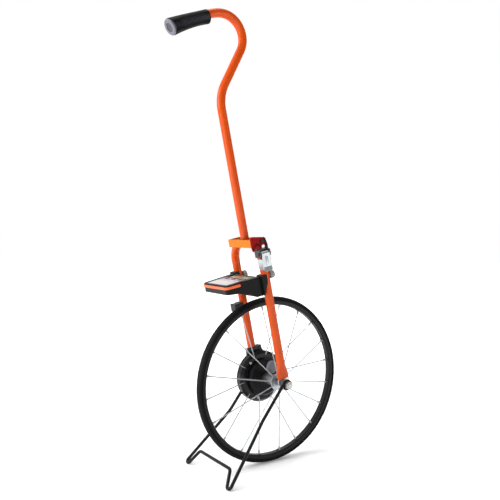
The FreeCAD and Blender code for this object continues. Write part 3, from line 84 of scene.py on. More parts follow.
class Finish:
    """A material's node tree, with a short call for each kind of node that the finishes use."""

    def __init__(self, name):
        self.material = bpy.data.materials.new(name)
        self.material.use_nodes = True
        self.tree = self.material.node_tree
        self.skin = self.tree.nodes["Principled BSDF"]
        self.place = self.put("TexCoord").outputs["Object"]

    def put(self, kind, inputs=None, **settings):
        node = self.tree.nodes.new("ShaderNode" + kind)
        for key, given in settings.items():
            setattr(node, key, given)
        for key, given in (inputs or {}).items():
            self.feed(node.inputs[key], given)
        return node

    def feed(self, socket, given):
        if isinstance(given, bpy.types.NodeSocket):
            self.tree.links.new(given, socket)
        else:
            socket.default_value = given

    def set(self, **inputs):
        for key, given in inputs.items():
            self.feed(self.skin.inputs[key.replace("_", " ")], given)

    def noise(self, scale, detail=3.0, stretch=(1, 1, 1)):
        spread = self.put("Mapping", {"Vector": self.place, "Scale": stretch})
        return self.put("TexNoise", {"Vector": spread.outputs[0], "Scale": scale,
                                     "Detail": detail}).outputs["Fac"]

    def band(self, source, low, high, to_low=0.0, to_high=1.0):
        return self.put("MapRange", {"Value": source, "From Min": low, "From Max": high,
                                     "To Min": to_low, "To Max": to_high}).outputs[0]

    def maths(self, operation, first, second=0.0):
        return self.put("Math", {0: first, 1: second}, operation=operation).outputs[0]

    def mix(self, factor, first, second):
        node = self.put("Mix", {0: factor, 6: first, 7: second}, data_type="RGBA")
        return node.outputs[2]

    def from_axle(self):
        """Distance from the wheel's axle line, in metres."""
        flat = self.put("VectorMath", {0: self.place, 1: (1, 0, 1)}, operation="MULTIPLY")
        centre = (AXLE.x, 0, AXLE.z)
        reach = self.put("VectorMath", {0: flat.outputs[0], 1: centre}, operation="DISTANCE")
        return reach.outputs["Value"]

    def along(self, axis):
        """A point's place along one axis, in metres."""
        return self.put("SeparateXYZ", {0: self.place}).outputs[axis]

    def rings(self, scale):
        """Fine turning marks about the axle."""
        spin = self.put("TexNoise", {"W": self.maths("MULTIPLY", self.from_axle(), scale),
                                     "Scale": 1.0, "Detail": 2.0}, noise_dimensions="1D")
        return spin.outputs["Fac"]

    def soft_normal(self, radius):
        """The surface's normal with its edges rounded by a radius in millimetres."""
        return self.put("Bevel", {"Radius": radius * MM}, samples=4).outputs[0]

    def edges(self, normal):
        """One along outside and inside edges, nought on faces."""
        true = self.put("NewGeometry").outputs["Normal"]
        aligned = self.put("VectorMath", {0: true, 1: normal}, operation="DOT_PRODUCT")
        return self.band(aligned.outputs["Value"], 0.995, 0.88)

    def relief(self, height, depth, normal):
        """Bump by a height map, its depth in millimetres."""
        return self.put("Bump", {"Height": height, "Distance": depth * MM, "Strength": 1.0,
                                 "Normal": normal}).outputs[0]


def tinted(colour, factor):
    """A colour made darker or lighter."""
    return (*[min(1.0, c * factor) for c in colour[:3]], 1.0)


CLOUD_SCALE, PATCH_SCALE, SPECKLE_SCALE, GLOSS_SCALE = 38, 260, 420, 140
# The third number below softens the edge of the painted shade, and the fourth sets where the painted
# sheen fades out.
GLOSS_SWING, COAT_ROUGH, BLEND_WIDTH, SHEEN_FADE = 0.22, 0.09, 0.4, 0.26


def painted(f, base, mottle, near, facing):
    """The colour before wear: clouded, with painted shade (a dark colour on one region that the lamps
    leave in shade) and a painted sheen (a lighter colour on what faces the eye).
    """
    clouds = f.band(f.noise(CLOUD_SCALE, 4.0), 0.3, 0.7)
    shade = f.mix(clouds, tinted(base, 1 - mottle), tinted(base, 1 + mottle))
    # Painted shade: a dark colour on the region to the right of a place and above a height, the side that
    # the lamps leave in shade.
    if near:
        colour, left, low = near
        beside = f.band(f.along("Y"), left * MM, (left - BLEND_WIDTH) * MM)
        above = f.band(f.along("Z"), low * MM, (low + BLEND_WIDTH) * MM)
        shade = f.mix(f.maths("MULTIPLY", beside, above), shade, rgb(colour))
    # Painted sheen: a lighter colour where the surface faces the eye, fading towards its outline.
    if facing:
        painted_sheen_falloff = f.put("LayerWeight", {"Blend": 0.5}).outputs["Facing"]
        shade = f.mix(f.band(painted_sheen_falloff, 0.0, SHEEN_FADE), rgb(facing), shade)
    return shade


def aged(f, shade, normal, worn, wear, dusty):
    """The colour with its edges rubbed and with dust at some distance from the axle."""
    if worn:
        patches = f.band(f.noise(PATCH_SCALE, 3.0), 0.42, 0.62)
        rubbed = f.maths("MULTIPLY", f.edges(normal), patches)
        shade = f.mix(f.maths("MULTIPLY", rubbed, wear), shade, rgb(worn))
    if dusty:
        colour, low, high, amount = dusty
        crown = f.band(f.from_axle(), low * MM, high * MM)
        speckle = f.maths("MULTIPLY", crown, f.band(f.noise(SPECKLE_SCALE, 4.0), 0.35, 0.75))
        shade = f.mix(f.maths("MULTIPLY", speckle, amount), shade, rgb(colour))
    return shade


def make_finish(slot, colour, rough, metal=0.0, mottle=0.12, grain=900, depth=0.02, worn=None,
                wear=0.5, rounding=0.4, coat=0.0, turning=0, dusty=None, drawn=(1, 1, 1), near=None,
                shine=0.5, facing=None):
    """One finish: clouded colour, worn edges, uneven gloss and a fine grain on rounded edges.

    worn is the colour of rubbed edges. dusty is (colour, from radius, to radius, amount) about the
    axle. near is (colour, left, height): painted shade, a dark colour on what lies to the right of
    that place and above that height, the side that the lamps leave in shade. facing is a painted
    sheen: a lighter colour on what faces the eye. turning gives marks of a lathe.
    """
    f = Finish(slot)
    normal = f.soft_normal(rounding)
    shade = aged(f, painted(f, rgb(colour), mottle, near, facing), normal, worn, wear, dusty)
    height = f.noise(grain, 4.0, drawn)
    if turning:
        height = f.maths("ADD", f.maths("MULTIPLY", height, 0.4), f.rings(turning))
    gloss = f.maths("MULTIPLY_ADD", f.noise(GLOSS_SCALE, 5.0, drawn), GLOSS_SWING)
    gloss.node.inputs[2].default_value = rough - GLOSS_SWING / 2
    f.set(Base_Color=shade, Metallic=metal, Roughness=gloss, Coat_Weight=coat,
          Coat_Roughness=COAT_ROUGH, Specular_IOR_Level=shine, Normal=f.relief(height, depth, normal))
    return f.material


def set_range(node, *limits):
    """Give a Map Range node its from-limits and its to-limits."""
    for key, limit in zip(("From Min", "From Max", "To Min", "To Max"), limits):
        node.inputs[key].default_value = limit


NEAR_GLOW, FAR_GLOW, GLOW_FROM, GLOW_TO = 0.12, 0.9, 0.3, 1.8


def light_far_floor(material):
    """Let the floor glow away from the object, so that it meets the white walls unseen."""
    tree = material.node_tree
    place = tree.nodes.new("ShaderNodeTexCoord")
    reach = tree.nodes.new("ShaderNodeVectorMath")
    reach.operation = "LENGTH"
    level = tree.nodes.new("ShaderNodeMapRange")
    set_range(level, GLOW_FROM, GLOW_TO, NEAR_GLOW, FAR_GLOW)
    tree.links.new(place.outputs["Object"], reach.inputs[0])
    tree.links.new(reach.outputs["Value"], level.inputs["Value"])
    skin = tree.nodes["Principled BSDF"]
    skin.inputs["Emission Color"].default_value = (1, 1, 1, 1)
    tree.links.new(level.outputs[0], skin.inputs["Emission Strength"])


def make_clear(slot):
    """Clear plastic: what is behind shows, under a thin gloss."""
    f = Finish(slot)
    smears = f.band(f.noise(220, 4.0), 0.3, 0.8, 0.03, 0.14)
    gloss = f.put("BsdfGlossy", {"Color": (1, 1, 1, 1), "Roughness": smears})
    through = f.put("BsdfTransparent", {"Color": (0.93, 0.95, 0.93, 1)})
    fresnel = f.put("Fresnel", {"IOR": 1.42}).outputs[0]
    both = f.put("MixShader", {0: f.maths("MULTIPLY", fresnel, 0.3), 1: through.outputs[0],
                               2: gloss.outputs[0]})
    f.tree.links.new(both.outputs[0], f.tree.nodes["Material Output"].inputs["Surface"])
    return f.material


FINISHES = {
    "tyre_rubber": dict(colour="111114", shine=0.08, rough=0.72, mottle=0.25, grain=1500, depth=0.06,
                        dusty=("4a4844", 156, 159, 0.3), rounding=0.3),
    "rim_black": dict(colour="0c0c0e", shine=0.2, rough=0.36, worn="77787a", wear=0.35, grain=2600,
                      depth=0.01, turning=2200),
    "spoke_steel": dict(colour="a8abae", rough=0.3, metal=1.0, grain=1800, depth=0.01),
    "hub_alloy": dict(colour="a9adb2", rough=0.33, metal=1.0, grain=2500, depth=0.012, turning=2600),
    "bearing_steel": dict(colour="8e9195", rough=0.24, metal=1.0, depth=0.008, turning=3000),
    "drum_plastic": dict(colour="0a0a0c", shine=0.24, rough=0.2, worn="4c4c4e", grain=2400,
                         rounding=0.7),
    "boss_plastic": dict(colour="0d0d0f", shine=0.14, rough=0.32, worn="505053", grain=2400,
                         depth=0.025, rounding=0.8),
    "cap_grey": dict(colour="666a72", rough=0.45, mottle=0.06, worn="9fa2a9", grain=3000, depth=0.015,
                     rounding=0.8),
    "magnet_dark": dict(colour="2d2c2c", rough=0.55, worn="5a5856"),
    "steel_zinc": dict(colour="b4b6b2", rough=0.32, metal=1.0, mottle=0.16, worn="dfe0df", grain=1300,
                       depth=0.015),
    # near paints shade: dark red on the near leg's top and its weld beside the crown, where the lamps
    # leave shade.
    "orange_paint": dict(colour="c44500", rough=0.3, mottle=0.06, worn="8c2c0c", wear=0.4, grain=700,
                         shine=0.05, rounding=0.5, near=("780000", -35.5, 404), coat=0.4),
    # near paints shade: dark red on the crown's near cheek, which faces away from the lamps.
    "bracket_paint": dict(colour="bd6a08", rough=0.3, mottle=0.05, worn="c84a0c", grain=700,
                          rounding=0.6, near=("900000", -35.5, 0), shine=0.08),
    "latch_chrome": dict(colour="aeb3b5", rough=0.27, metal=0.95, mottle=0.06, worn="f2f3f3", grain=500,
                         depth=0.01, drawn=(1, 1, 0.06), rounding=0.5),
    "catch_steel": dict(colour="35292a", rough=0.42, metal=0.8, worn="6a5c58", depth=0.03),
    "black_block": dict(colour="0f0f11", shine=0.3, rough=0.45, worn="454547", grain=1600, depth=0.04),
    "board_green": dict(colour="1e5a34", rough=0.4, grain=1200),
    "case_black": dict(colour="0e0f0d", shine=0.12, rough=0.36, mottle=0.1, worn="48494a", wear=0.45,
                       grain=2100, depth=0.03, rounding=0.8),
    "trim_orange": dict(colour="e2591f", rough=0.4, mottle=0.06, worn="f39a6a", wear=0.35, grain=1500,
                        depth=0.02, rounding=0.8),
    "lcd_cream": dict(colour="f4dca4", rough=0.35, mottle=0.05, grain=4000, depth=0.004),
    "panel_lilac": dict(colour="8f8c96", rough=0.45, mottle=0.04, worn="f2f0f4", grain=2200, depth=0.015),
    "key_purple": dict(colour="8d5568", rough=0.5, mottle=0.08, worn="b98a97", grain=1800, depth=0.03,
                       rounding=0.6),
    "battery_grey": dict(colour="55585c", rough=0.35, metal=0.5),
    "wire_black": dict(colour="09090b", shine=0.2, rough=0.38, worn="5c5d60", wear=0.4),
    # facing paints a sheen: a lighter grey where the grip faces the eye.
    "grip_rubber": dict(colour="020203", shine=0.07, rough=0.55, mottle=0.1, facing="45454c", grain=2600,
                        depth=0.05, rounding=0.8),
    "cap_light": dict(colour="605f6a", rough=0.48, mottle=0.05, worn="7f7e89", grain=2400, depth=0.015,
                      rounding=0.6),
    "cap_dark": dict(colour="38373f", rough=0.5, mottle=0.06, grain=2400, depth=0.02),
    "knob_grey": dict(colour="8a8a88", rough=0.42, mottle=0.08, worn="a3a19e", grain=1800, depth=0.03,
                      rounding=0.6),
    "yoke_steel": dict(colour="3e4042", rough=0.34, metal=1.0, mottle=0.15, worn="a5a7a8"),
    "print_dark": dict(colour="24242a", rough=0.4, mottle=0.05),
    "print_grey": dict(colour="8b8c90", rough=0.4, mottle=0.05),
    "print_white": dict(colour="bab7b5", rough=0.45, mottle=0.03),
    "floor_pale": dict(colour="f2f2f2", rough=0.85, mottle=0.01, grain=300, depth=0.01, rounding=0.1,
                       shine=0.0),
}
MATERIALS = {slot: make_finish(slot, **looks) for slot, looks in FINISHES.items()}
MATERIALS["window_clear"] = make_clear("window_clear")
light_far_floor(MATERIALS["floor_pale"])


# ---------------------------------------------------------------- shapes

def turned(profile, segments=64, outside=None):
    """Turn (height, radius) pairs about the third axis; outside(angle, height, radius) moves the skin."""
    points, faces = [], []
    for height, radius in profile:
        for step in range(segments):
            angle = 2 * math.pi * step / segments
            reach = outside(angle, height, radius) if outside else radius
            points.append((reach * math.cos(angle), reach * math.sin(angle), height))
    for row in range(len(profile) - 1):
        for step in range(segments):
            a, b = row * segments + step, row * segments + (step + 1) % segments
            faces.append((a, b, b + segments, a + segments))
    return points, faces


def turned_closed(profile, segments=64, outside=None):
    """A turned ring whose section is a closed loop."""
    return turned(list(profile) + [profile[0]], segments, outside)


def turned_solid(profile, segments=64, outside=None):
    """A turned solid, closed at both ends by flat faces."""
    points, faces = turned(profile, segments, outside)
    last = (len(profile) - 1) * segments
    faces.append(tuple(range(segments))[::-1])
    faces.append(tuple(range(last, last + segments)))
    return points, faces


def prism(outline, low, high):
    """Raise a flat outline between two heights."""
    count = len(outline)
    points = [(x, y, z) for z in (low, high) for x, y in outline]
    faces = [tuple(range(count))[::-1], tuple(range(count, 2 * count))]
    for step in range(count):
        following = (step + 1) % count
        faces.append((step, following, following + count, step + count))
    return points, faces


def rounded_box(x, y, radius, corner_steps=6):
    """An outline from x[0], y[0] to x[1], y[1] with round corners."""
    outline = []
    corners = ((x[1], y[1], 0), (x[0], y[1], 90), (x[0], y[0], 180), (x[1], y[0], 270))
    for cx, cy, start in corners:
        mx = cx - math.copysign(radius, cx - sum(x) / 2)
        my = cy - math.copysign(radius, cy - sum(y) / 2)
        for step in range(corner_steps + 1):
            angle = math.radians(start + 90 * step / corner_steps)
            outline.append((mx + radius * math.cos(angle), my + radius * math.sin(angle)))
    return outline


def frame_strip(outer, inner, low, high):
    """A flat border between two outlines with as many points as each other."""
    count = len(outer)
    points = [(x, y, z) for z in (low, high) for loop in (outer, inner) for x, y in loop]
    faces = []
    for step in range(count):
        following = (step + 1) % count
        rows = [0, count, 3 * count, 2 * count, 0]
        for first, second in zip(rows, rows[1:]):
            faces.append((first + step, first + following, second + following, second + step))
    return points, faces


def tube(path, radius, sides=12, closed=False):
    """Sweep a circle along a path; radius is a number or a function of the share of the path."""
    points, faces = [], []
    count = len(path)
    spots = [Vector(p) for p in path]
    side = None
    for index, spot in enumerate(spots):
        ahead = spots[(index + 1) % count if closed else min(index + 1, count - 1)]
        behind = spots[index - 1 if closed else max(index - 1, 0)]
        along = (ahead - behind).normalized()
        if side is None:
            side = along.orthogonal().normalized()
        side = (side - along * side.dot(along)).normalized()
        across = along.cross(side)
        reach = radius(index / (count - 1)) if callable(radius) else radius
        for step in range(sides):
            angle = 2 * math.pi * step / sides
            points.append(spot + (side * math.cos(angle) + across * math.sin(angle)) * reach)
    rows = count if closed else count - 1
    for row in range(rows):
        for step in range(sides):
            here, ahead = row * sides, (row + 1) % count * sides
            following = (step + 1) % sides
            faces.append((here + step, here + following, ahead + following, ahead + step))
    if not closed:
        faces.append(tuple(range(sides))[::-1])
        faces.append(tuple(range((count - 1) * sides, count * sides)))
    return points, faces


def joined(*shapes):
    """Put several shapes into one mesh."""
    points, faces = [], []
    for more_points, more_faces in shapes:
        start = len(points)
        points += [tuple(p) for p in more_points]
        faces += [tuple(start + corner for corner in face) for face in more_faces]
    return points, faces


def moved(shape, matrix):
    points, faces = shape
    return [tuple(matrix @ Vector(p)) for p in points], faces


SAME_PLACE = 0.002


def piece(name, shape, slot, body, place, finish=None, crease=38, rounding=0.0):
    """Make an object from a shape, give it its finish and let it move with a body."""
    points, faces = shape
    mesh = bpy.data.meshes.new(name)
    mesh.from_pydata([place @ Vector(p) for p in points], [], faces)
    work = bmesh.new()
    work.from_mesh(mesh)
    bmesh.ops.remove_doubles(work, verts=work.verts, dist=SAME_PLACE * MM)
    bmesh.ops.recalc_face_normals(work, faces=work.faces)
    if rounding:
        sharp = [e for e in work.edges if e.calc_face_angle(0) > math.radians(crease)]
        bmesh.ops.bevel(work, geom=sharp, offset=rounding * MM, segments=2, profile=0.5,
                        affect="EDGES", clamp_overlap=True)
    work.to_mesh(mesh)
    work.free()
    mesh.polygons.foreach_set("use_smooth", [True] * len(mesh.polygons))
    mesh.set_sharp_from_angle(angle=math.radians(crease))
    mesh.materials.append(MATERIALS[finish or slot])
    thing = bpy.data.objects.new(name, mesh)
    bpy.context.collection.objects.link(thing)
    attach(thing, body)
    return thing


def hexagonal(across):
    """A skin for a nut: the distance to a hexagon's side, but never beyond the turned radius."""
    def outside(angle, height, radius):
        within = (math.degrees(angle) + 30) % 60 - 30
        return min(radius, across / 2 / math.cos(math.radians(within)))
    return outside


def filled(*loops):
    """A flat face at one height between an outer loop and the loops inside it."""
    work = bmesh.new()
    edges = []
    for loop in loops:
        corners = [work.verts.new(p) for p in loop]
        edges += [work.edges.new((a, b)) for a, b in zip(corners, corners[1:] + corners[:1])]
    bmesh.ops.triangle_fill(work, use_beauty=True, edges=edges)
    work.verts.index_update()
    shape = ([tuple(v.co) for v in work.verts], [tuple(v.index for v in f.verts) for f in work.faces])
    work.free()
    return shape


def cross_screw(head, height, arm, depth, shank=0.0, shank_length=0.0):
    """A pan head screw with a cross recess, its top facing up."""
    steps = 32
    rim = [(0, head * 0.96), (height * 0.15, head), (height * 0.55, head * 0.97),
           (height * 0.85, head * 0.86), (height, head * 0.7)]
    points, faces = turned(rim, steps)
    faces.append(tuple(range(steps))[::-1])
    slim = arm * 0.3
    cross = [(arm, slim), (slim, slim), (slim, arm), (-slim, arm), (-slim, slim), (-arm, slim),
             (-arm, -slim), (-slim, -slim), (-slim, -arm), (slim, -arm), (slim, -slim), (arm, -slim)]
    top = filled(points[-steps:], [(x, y, height) for x, y in cross])
    walls, sides = prism(cross, height - depth, height)
    recess = (walls, [sides[0]] + sides[2:])
    shapes = [(points, faces), top, recess]
    if shank_length:
        shapes.append(turned_solid([(-shank_length, shank), (0, shank)], 24))
    return joined(*shapes)


# ---------------------------------------------------------------- wheel

TYRE_RADIUS, TYRE_HALF, TYRE_SHOULDER = 159.09, 8.6, 153.4
RIM_EDGE, SEAT_HALF, SEAT_RADIUS = 151.0, 5.8, 147.5
GROOVE_DEPTH, GROOVE_AT, GROOVE_HALF = 0.45, 2.45, 0.35
CUT_DEPTH, CUT_FROM, CUT_TO, TREAD_RADIUS, CUT_EVERY = 0.4, 4.0, 7.8, 154, 5
SPOKES, FIRST_SPOKE, SPOKE_STEP = 20, 98.3, 18.0
EYELET_RADIUS, EYELET_SIDE = 143.5, 1.5
DRUM_FACE, BOSS_RISE, FINS, FIN_SPAN, DRUM_SCREW_CIRCLE = 24.0, 11.0, 30, (15.0, 30.4), 41


def make_tyre():
    """A solid rubber tyre: two fine grooves round the crown and short cuts over its shoulders."""
    rise = TYRE_RADIUS - TYRE_SHOULDER
    bend = (TYRE_HALF ** 2 + rise ** 2) / (2 * rise)
    steps = 28
    crown = []
    for step in range(steps + 1):
        across = -TYRE_HALF + 2 * TYRE_HALF * step / steps
        radius = TYRE_RADIUS - bend + math.sqrt(bend ** 2 - across ** 2)
        groove = GROOVE_DEPTH if abs(abs(across) - GROOVE_AT) < GROOVE_HALF else 0.0
        crown.append((across, radius - groove))
    side = [(TYRE_HALF - 0.25, 152.6), (TYRE_HALF - 0.25, 151.9), (TYRE_HALF, 151.5),
            (TYRE_HALF - 0.3, RIM_EDGE), (SEAT_HALF, RIM_EDGE), (SEAT_HALF, SEAT_RADIUS)]
    profile = crown + side + [(-y, r) for y, r in reversed(side)]
    cuts = 400

    def tread(angle, height, radius):
        shoulder = CUT_FROM < abs(height) < CUT_TO and radius > TREAD_RADIUS
        slot = round(angle / (2 * math.pi) * cuts) % CUT_EVERY == 0
        return radius - (CUT_DEPTH if shoulder and slot else 0.0)
    shape = moved(turned_closed(profile, cuts, tread), FACING_NEAR)
    thing = piece("tyre_tread", shape, "tyre_rubber", "wheel", ON_WHEEL, crease=60)
    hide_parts("tyre")


def make_eyelets():
    """A pressed ring in the rim round each nipple."""
    section = [(-0.5, 2.2), (-0.5, 3.4), (-0.15, 3.9), (0.1, 3.4), (0.1, 2.2)]
    rings = []
    for index in range(SPOKES):
        turn = math.radians(FIRST_SPOKE + SPOKE_STEP * index)
        side = -EYELET_SIDE if index % 2 else EYELET_SIDE
        out = Vector((math.cos(turn), 0, math.sin(turn)))
        facing = out.to_track_quat("Z", "Y").to_matrix().to_4x4()
        spot = shift(*(out * EYELET_RADIUS + Vector((0, side, 0))))
        rings.append(moved(turned_closed(section, 20), spot @ facing))
    piece("rim_eyelets", joined(*rings), "rim_black", "wheel", ON_WHEEL)


def make_drum_detail():
    """Moulded rings and short ribs on the drum's face, and its screws with cross recesses."""
    ring = turned_closed([(0, 36.4), (0.8, 36.7), (0.8, 38.5), (0, 38.8)], 96)
    on_boss = [turned_closed([(0, 12.2), (0.8, 12.5), (0.8, 13.8), (0, 14.1)], 72)]
    step = 360 / FINS
    for index in range(FINS):
        turn = Matrix.Rotation(math.radians(step * index + step / 2), 4, "Z")
        fin = prism(rounded_box(FIN_SPAN, (-0.45, 0.45), 0.4, 3), 0, 0.7)
        on_boss.append(moved(fin, turn))
    raised = moved(joined(*on_boss), shift(0, 0, BOSS_RISE))
    shape = moved(joined(ring, raised), shift(0, DRUM_FACE, 0) @ FACING_NEAR)
    piece("drum_mouldings", shape, "boss_plastic", "wheel", ON_WHEEL)
    screws = []
    for index in range(3):
        turn = math.radians(FIRST_SPOKE + 2 * SPOKE_STEP + 120 * index)
        spot = (DRUM_SCREW_CIRCLE * math.cos(turn), DRUM_FACE, DRUM_SCREW_CIRCLE * math.sin(turn))
        screws.append(moved(cross_screw(2.8, 2.0, 1.6, 1.0), shift(*spot) @ FACING_NEAR))
    thing = piece("drum_screw_heads", joined(*screws), "steel_zinc", "wheel", ON_WHEEL)
    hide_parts("drum_screws")


def make_nuts():
    """Chamfered hexagon nuts with a washer face, one at each end of the axle."""
    across, height, bore = 13.0, 6.4, 4.1
    section = [(0, bore), (0, 6.1), (0.6, 6.3), (0.6, 6.9), (1.3, 7.55), (height - 1.1, 7.55),
               (height - 0.35, 6.6), (height, 6.0), (height, bore + 0.5), (height - 0.5, bore)]
    nut = turned_closed(section, 96, hexagonal(across))
    low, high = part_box("axle_nuts")
    near, far = low[1] / MM, high[1] / MM
    both = joined(moved(nut, shift(0, near + height, 0) @ FACING_NEAR),
                  moved(nut, shift(0, far - height, 0) @ FACING_FAR))
    thing = piece("axle_hex_nuts", both, "steel_zinc", "frame", ON_FRAME, crease=25)
    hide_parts("axle_nuts")


# ---------------------------------------------------------------- frame

LEG_Y = 46.0
CHEEK_SIDE, LEG_TOP_UP, LEG_TOP_RADIUS, LEG_TOP_WIDTH = 38.9, 254, 13.4, 8.2
NEAR_BEAD, FAR_BEAD = (-8, 188), (40, 140)
# left, up, half length, steps and radius of the beads on the end plates
PLATE_BEADS = ((-44.4, 11.6, 10.5, 90, 1.0), (42.4, 59.6, 7.0, 70, 0.9))
COVER_SCREWS_FWD, COVER_SCREWS_UP = (2.0, 12.0), 51.0
KNOB_BASE, NEAR_KNOB_UP, FAR_KNOB_UP, FLUTES, FLUTE_DEPTH = 9, 208, 202, 12, 0.75
LEVER_FACE, LATCH_PIN_HALF, LATCH_PIN_LEFT, LATCH_PIN_UP = -60.15, 12.3, -55, 250
PIVOT_FWD, PIVOT_SIDE, PIVOT_UP = 11.2, 38.4, 270


def bead(path, radius=1.25, ripple=1.1):
    """A weld bead along a path: a low tube with close ripples."""
    length = sum((Vector(b) - Vector(a)).length for a, b in zip(path, path[1:]))

    def swell(share):
        ends = min(1.0, 8 * share + 0.35, 8 * (1 - share) + 0.35)
        return radius * ends * (0.86 + 0.14 * math.cos(2 * math.pi * share * length / ripple))
    return tube(path, swell, 8)


def fine_path(point_at, start, end, steps):
    """Evenly spaced points of a curve."""
    return [point_at(start + (end - start) * i / steps) for i in range(steps + 1)]


def make_welds():
    """Beads where the legs meet the crown's cheeks and where each end plate meets its leg."""
    beads = []
    for side in (-1, 1):
        def round_leg(angle, side=side):
            turn = math.radians(angle)
            up = LEG_TOP_UP + LEG_TOP_RADIUS * math.sin(turn)
            return (LEG_TOP_WIDTH * math.cos(turn), side * CHEEK_SIDE, up)
        first, last = NEAR_BEAD if side < 0 else FAR_BEAD
        beads.append(bead(fine_path(round_leg, first, last, 150)))
    for left, up, half, steps, radius in PLATE_BEADS:
        def across(fwd, left=left, up=up):
            return (fwd, left, up)
        beads.append(bead(fine_path(across, -half, half, steps), radius))
    piece("frame_welds", joined(*beads), "orange_paint", "frame", ON_FRAME, crease=80)


def make_cover_screws():
    """The screws that hold the drum's cover to the far end plate."""
    screws = []
    for fwd in COVER_SCREWS_FWD:
        screw = cross_screw(3.0, 2.0, 1.8, 1.1, 1.3, 7.0)
        screws.append(moved(screw, shift(fwd, LEG_Y, COVER_SCREWS_UP) @ FACING_FAR))
    thing = piece("cover_screw_heads", joined(*screws), "steel_zinc", "frame", ON_FRAME)
    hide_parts("cover_screws")


def make_knobs():
    """Thumb knobs with shallow flutes on the bolts that clamp the counter."""
    section = [(0, 3.0), (0, 6.2), (0.8, 7.1), (1.4, 7.4), (7.2, 7.4), (8.3, 6.9), (8.9, 5.9),
               (8.9, 4.4), (8.4, 3.9), (8.4, 0.01)]

    def flutes(angle, height, radius):
        edge = max(0.0, min(1.0, (radius - 6.0) / 1.2))
        return radius - FLUTE_DEPTH * edge * max(0.0, math.cos(FLUTES * angle)) ** 2
    knob = turned(section, 144, flutes)
    shank = turned([(-20, 2.5), (-1, 2.5), (-1, 4.0), (0, 4.0)], 32)
    both = []
    for left, up in ((-LEG_Y, NEAR_KNOB_UP), (LEG_Y, FAR_KNOB_UP)):
        both.append(moved(joined(knob, shank), shift(KNOB_BASE, left, up) @ FACING_FRONT))
    thing = piece("clamp_knobs", joined(*both), "steel_zinc", "frame", ON_FRAME, finish="knob_grey")
    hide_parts("clamp_bolts")


def make_latch_detail():
    """A pressed rib down the lever's plate and domed ends on its pin."""
    rib = prism(rounded_box((-2.6, 2.6), (229, 246), 2.5, 6), 0, 0.5)
    place = shift(0, LEVER_FACE, 0) @ FACING_NEAR
    piece("lever_rib", moved(rib, place), "latch_chrome", "latch", ON_FRAME, rounding=0.2)
    dome = turned([(0, 3.2), (0.5, 3.2), (0.9, 2.8), (1.2, 1.6), (1.3, 0.01)], 32)
    ends = [moved(dome, shift(side * LATCH_PIN_HALF, LATCH_PIN_LEFT, LATCH_PIN_UP) @ facing)
            for side, facing in ((-1, FACING_REAR), (1, FACING_FRONT))]
    piece("latch_pin_ends", joined(*ends), "steel_zinc", "frame", ON_FRAME, finish="catch_steel")


def make_pivot_heads():
    """Domed rivet heads with a centre dimple over the handle's pivot."""
    dome = turned([(0, 4.2), (0.4, 4.2), (1.2, 3.6), (1.75, 2.2), (1.75, 1.2), (1.2, 0.01)], 40)
    ends = [moved(dome, shift(PIVOT_FWD, side * PIVOT_SIDE, PIVOT_UP) @ facing)
            for side, facing in ((-1, FACING_NEAR), (1, FACING_FAR))]
    piece("pivot_domes", joined(*ends), "steel_zinc", "frame", ON_FRAME, finish="catch_steel")


# ---------------------------------------------------------------- counter

LENS_FWD, LENS_LEFT = (-33.3, -15.4), (-35.8, 35.8)
LENS_BASE, LENS_TOP, LCD_TOP = 207.6, 209.4, 207.2
BORDER_OUTER, BORDER_INNER = ((-32.3, -16.4), (-33.8, 33.8)), ((-30.5, -17.8), (-29.5, 29.5))
BORDER_THICK, INK, INK_LIFT = 0.12, 0.06, 0.02
FIGURES, FIGURE_WIDTH, FIGURE_TALL, STROKE_HALF = 5, 5.2, 9.4, 0.5
FIGURES_BASE, FIGURES_LEFT, FIGURES_STEP, POINT_LEFT, POINT_HALF = -28.9, 22.5, 10.2, -9.9, 0.7
PANEL_TOP, KEY_TOP, KEYS_FWD, KEYS_STEP = 209.2, 210.15, -40.0, 22
FIELD_FWD, FIELD_LEFT, FIELD_THICK = (-76.0, -47.5), (-32, 32), 0.05
LINE_FWD, LINE_LEFT = (-53.2, -52.4), (-28, 28)
MARK_FWD, MARK_HALF, MARK_STEP = (-50.6, -48.9), 0.7, 2.4
CASE_SCREWS_FWD, CASE_SCREWS_SIDE, CASE_SCREWS_UP = -73, 33, 192.9
DOOR_RIBS, DOOR_RIBS_FWD, DOOR_RIBS_LEFT, DOOR_RIBS_STEP = 7, (-22.5, -16.5), -40, 3.2
DOOR_RIB_WIDTH, DOOR_RIBS_UP = 1.3, (173.75, 174.5)


def bar(start, end, half):
    """A display segment: a bar with pointed ends."""
    a, b = Vector(start), Vector(end)
    along = (b - a).normalized()
    across = Vector((-along.y, along.x)) * half
    tip = along * half
    return [tuple(p) for p in (a, a + tip + across, b - tip + across, b, b - tip - across,
                               a + tip - across)]


def nought():
    """Six segments of a nought, read from behind the wheel: its top is forward."""
    wide, tall, middle = FIGURE_WIDTH, FIGURE_TALL, FIGURE_TALL / 2
    spots = [((0, tall), (wide, tall)), ((wide, tall), (wide, middle)), ((wide, middle), (wide, 0)),
             ((0, 0), (wide, 0)), ((0, 0), (0, middle)), ((0, middle), (0, tall))]
    outlines = [[(y, -x) for x, y in bar(start, end, STROKE_HALF)] for start, end in spots]
    return joined(*[prism(outline, 0, INK) for outline in outlines])


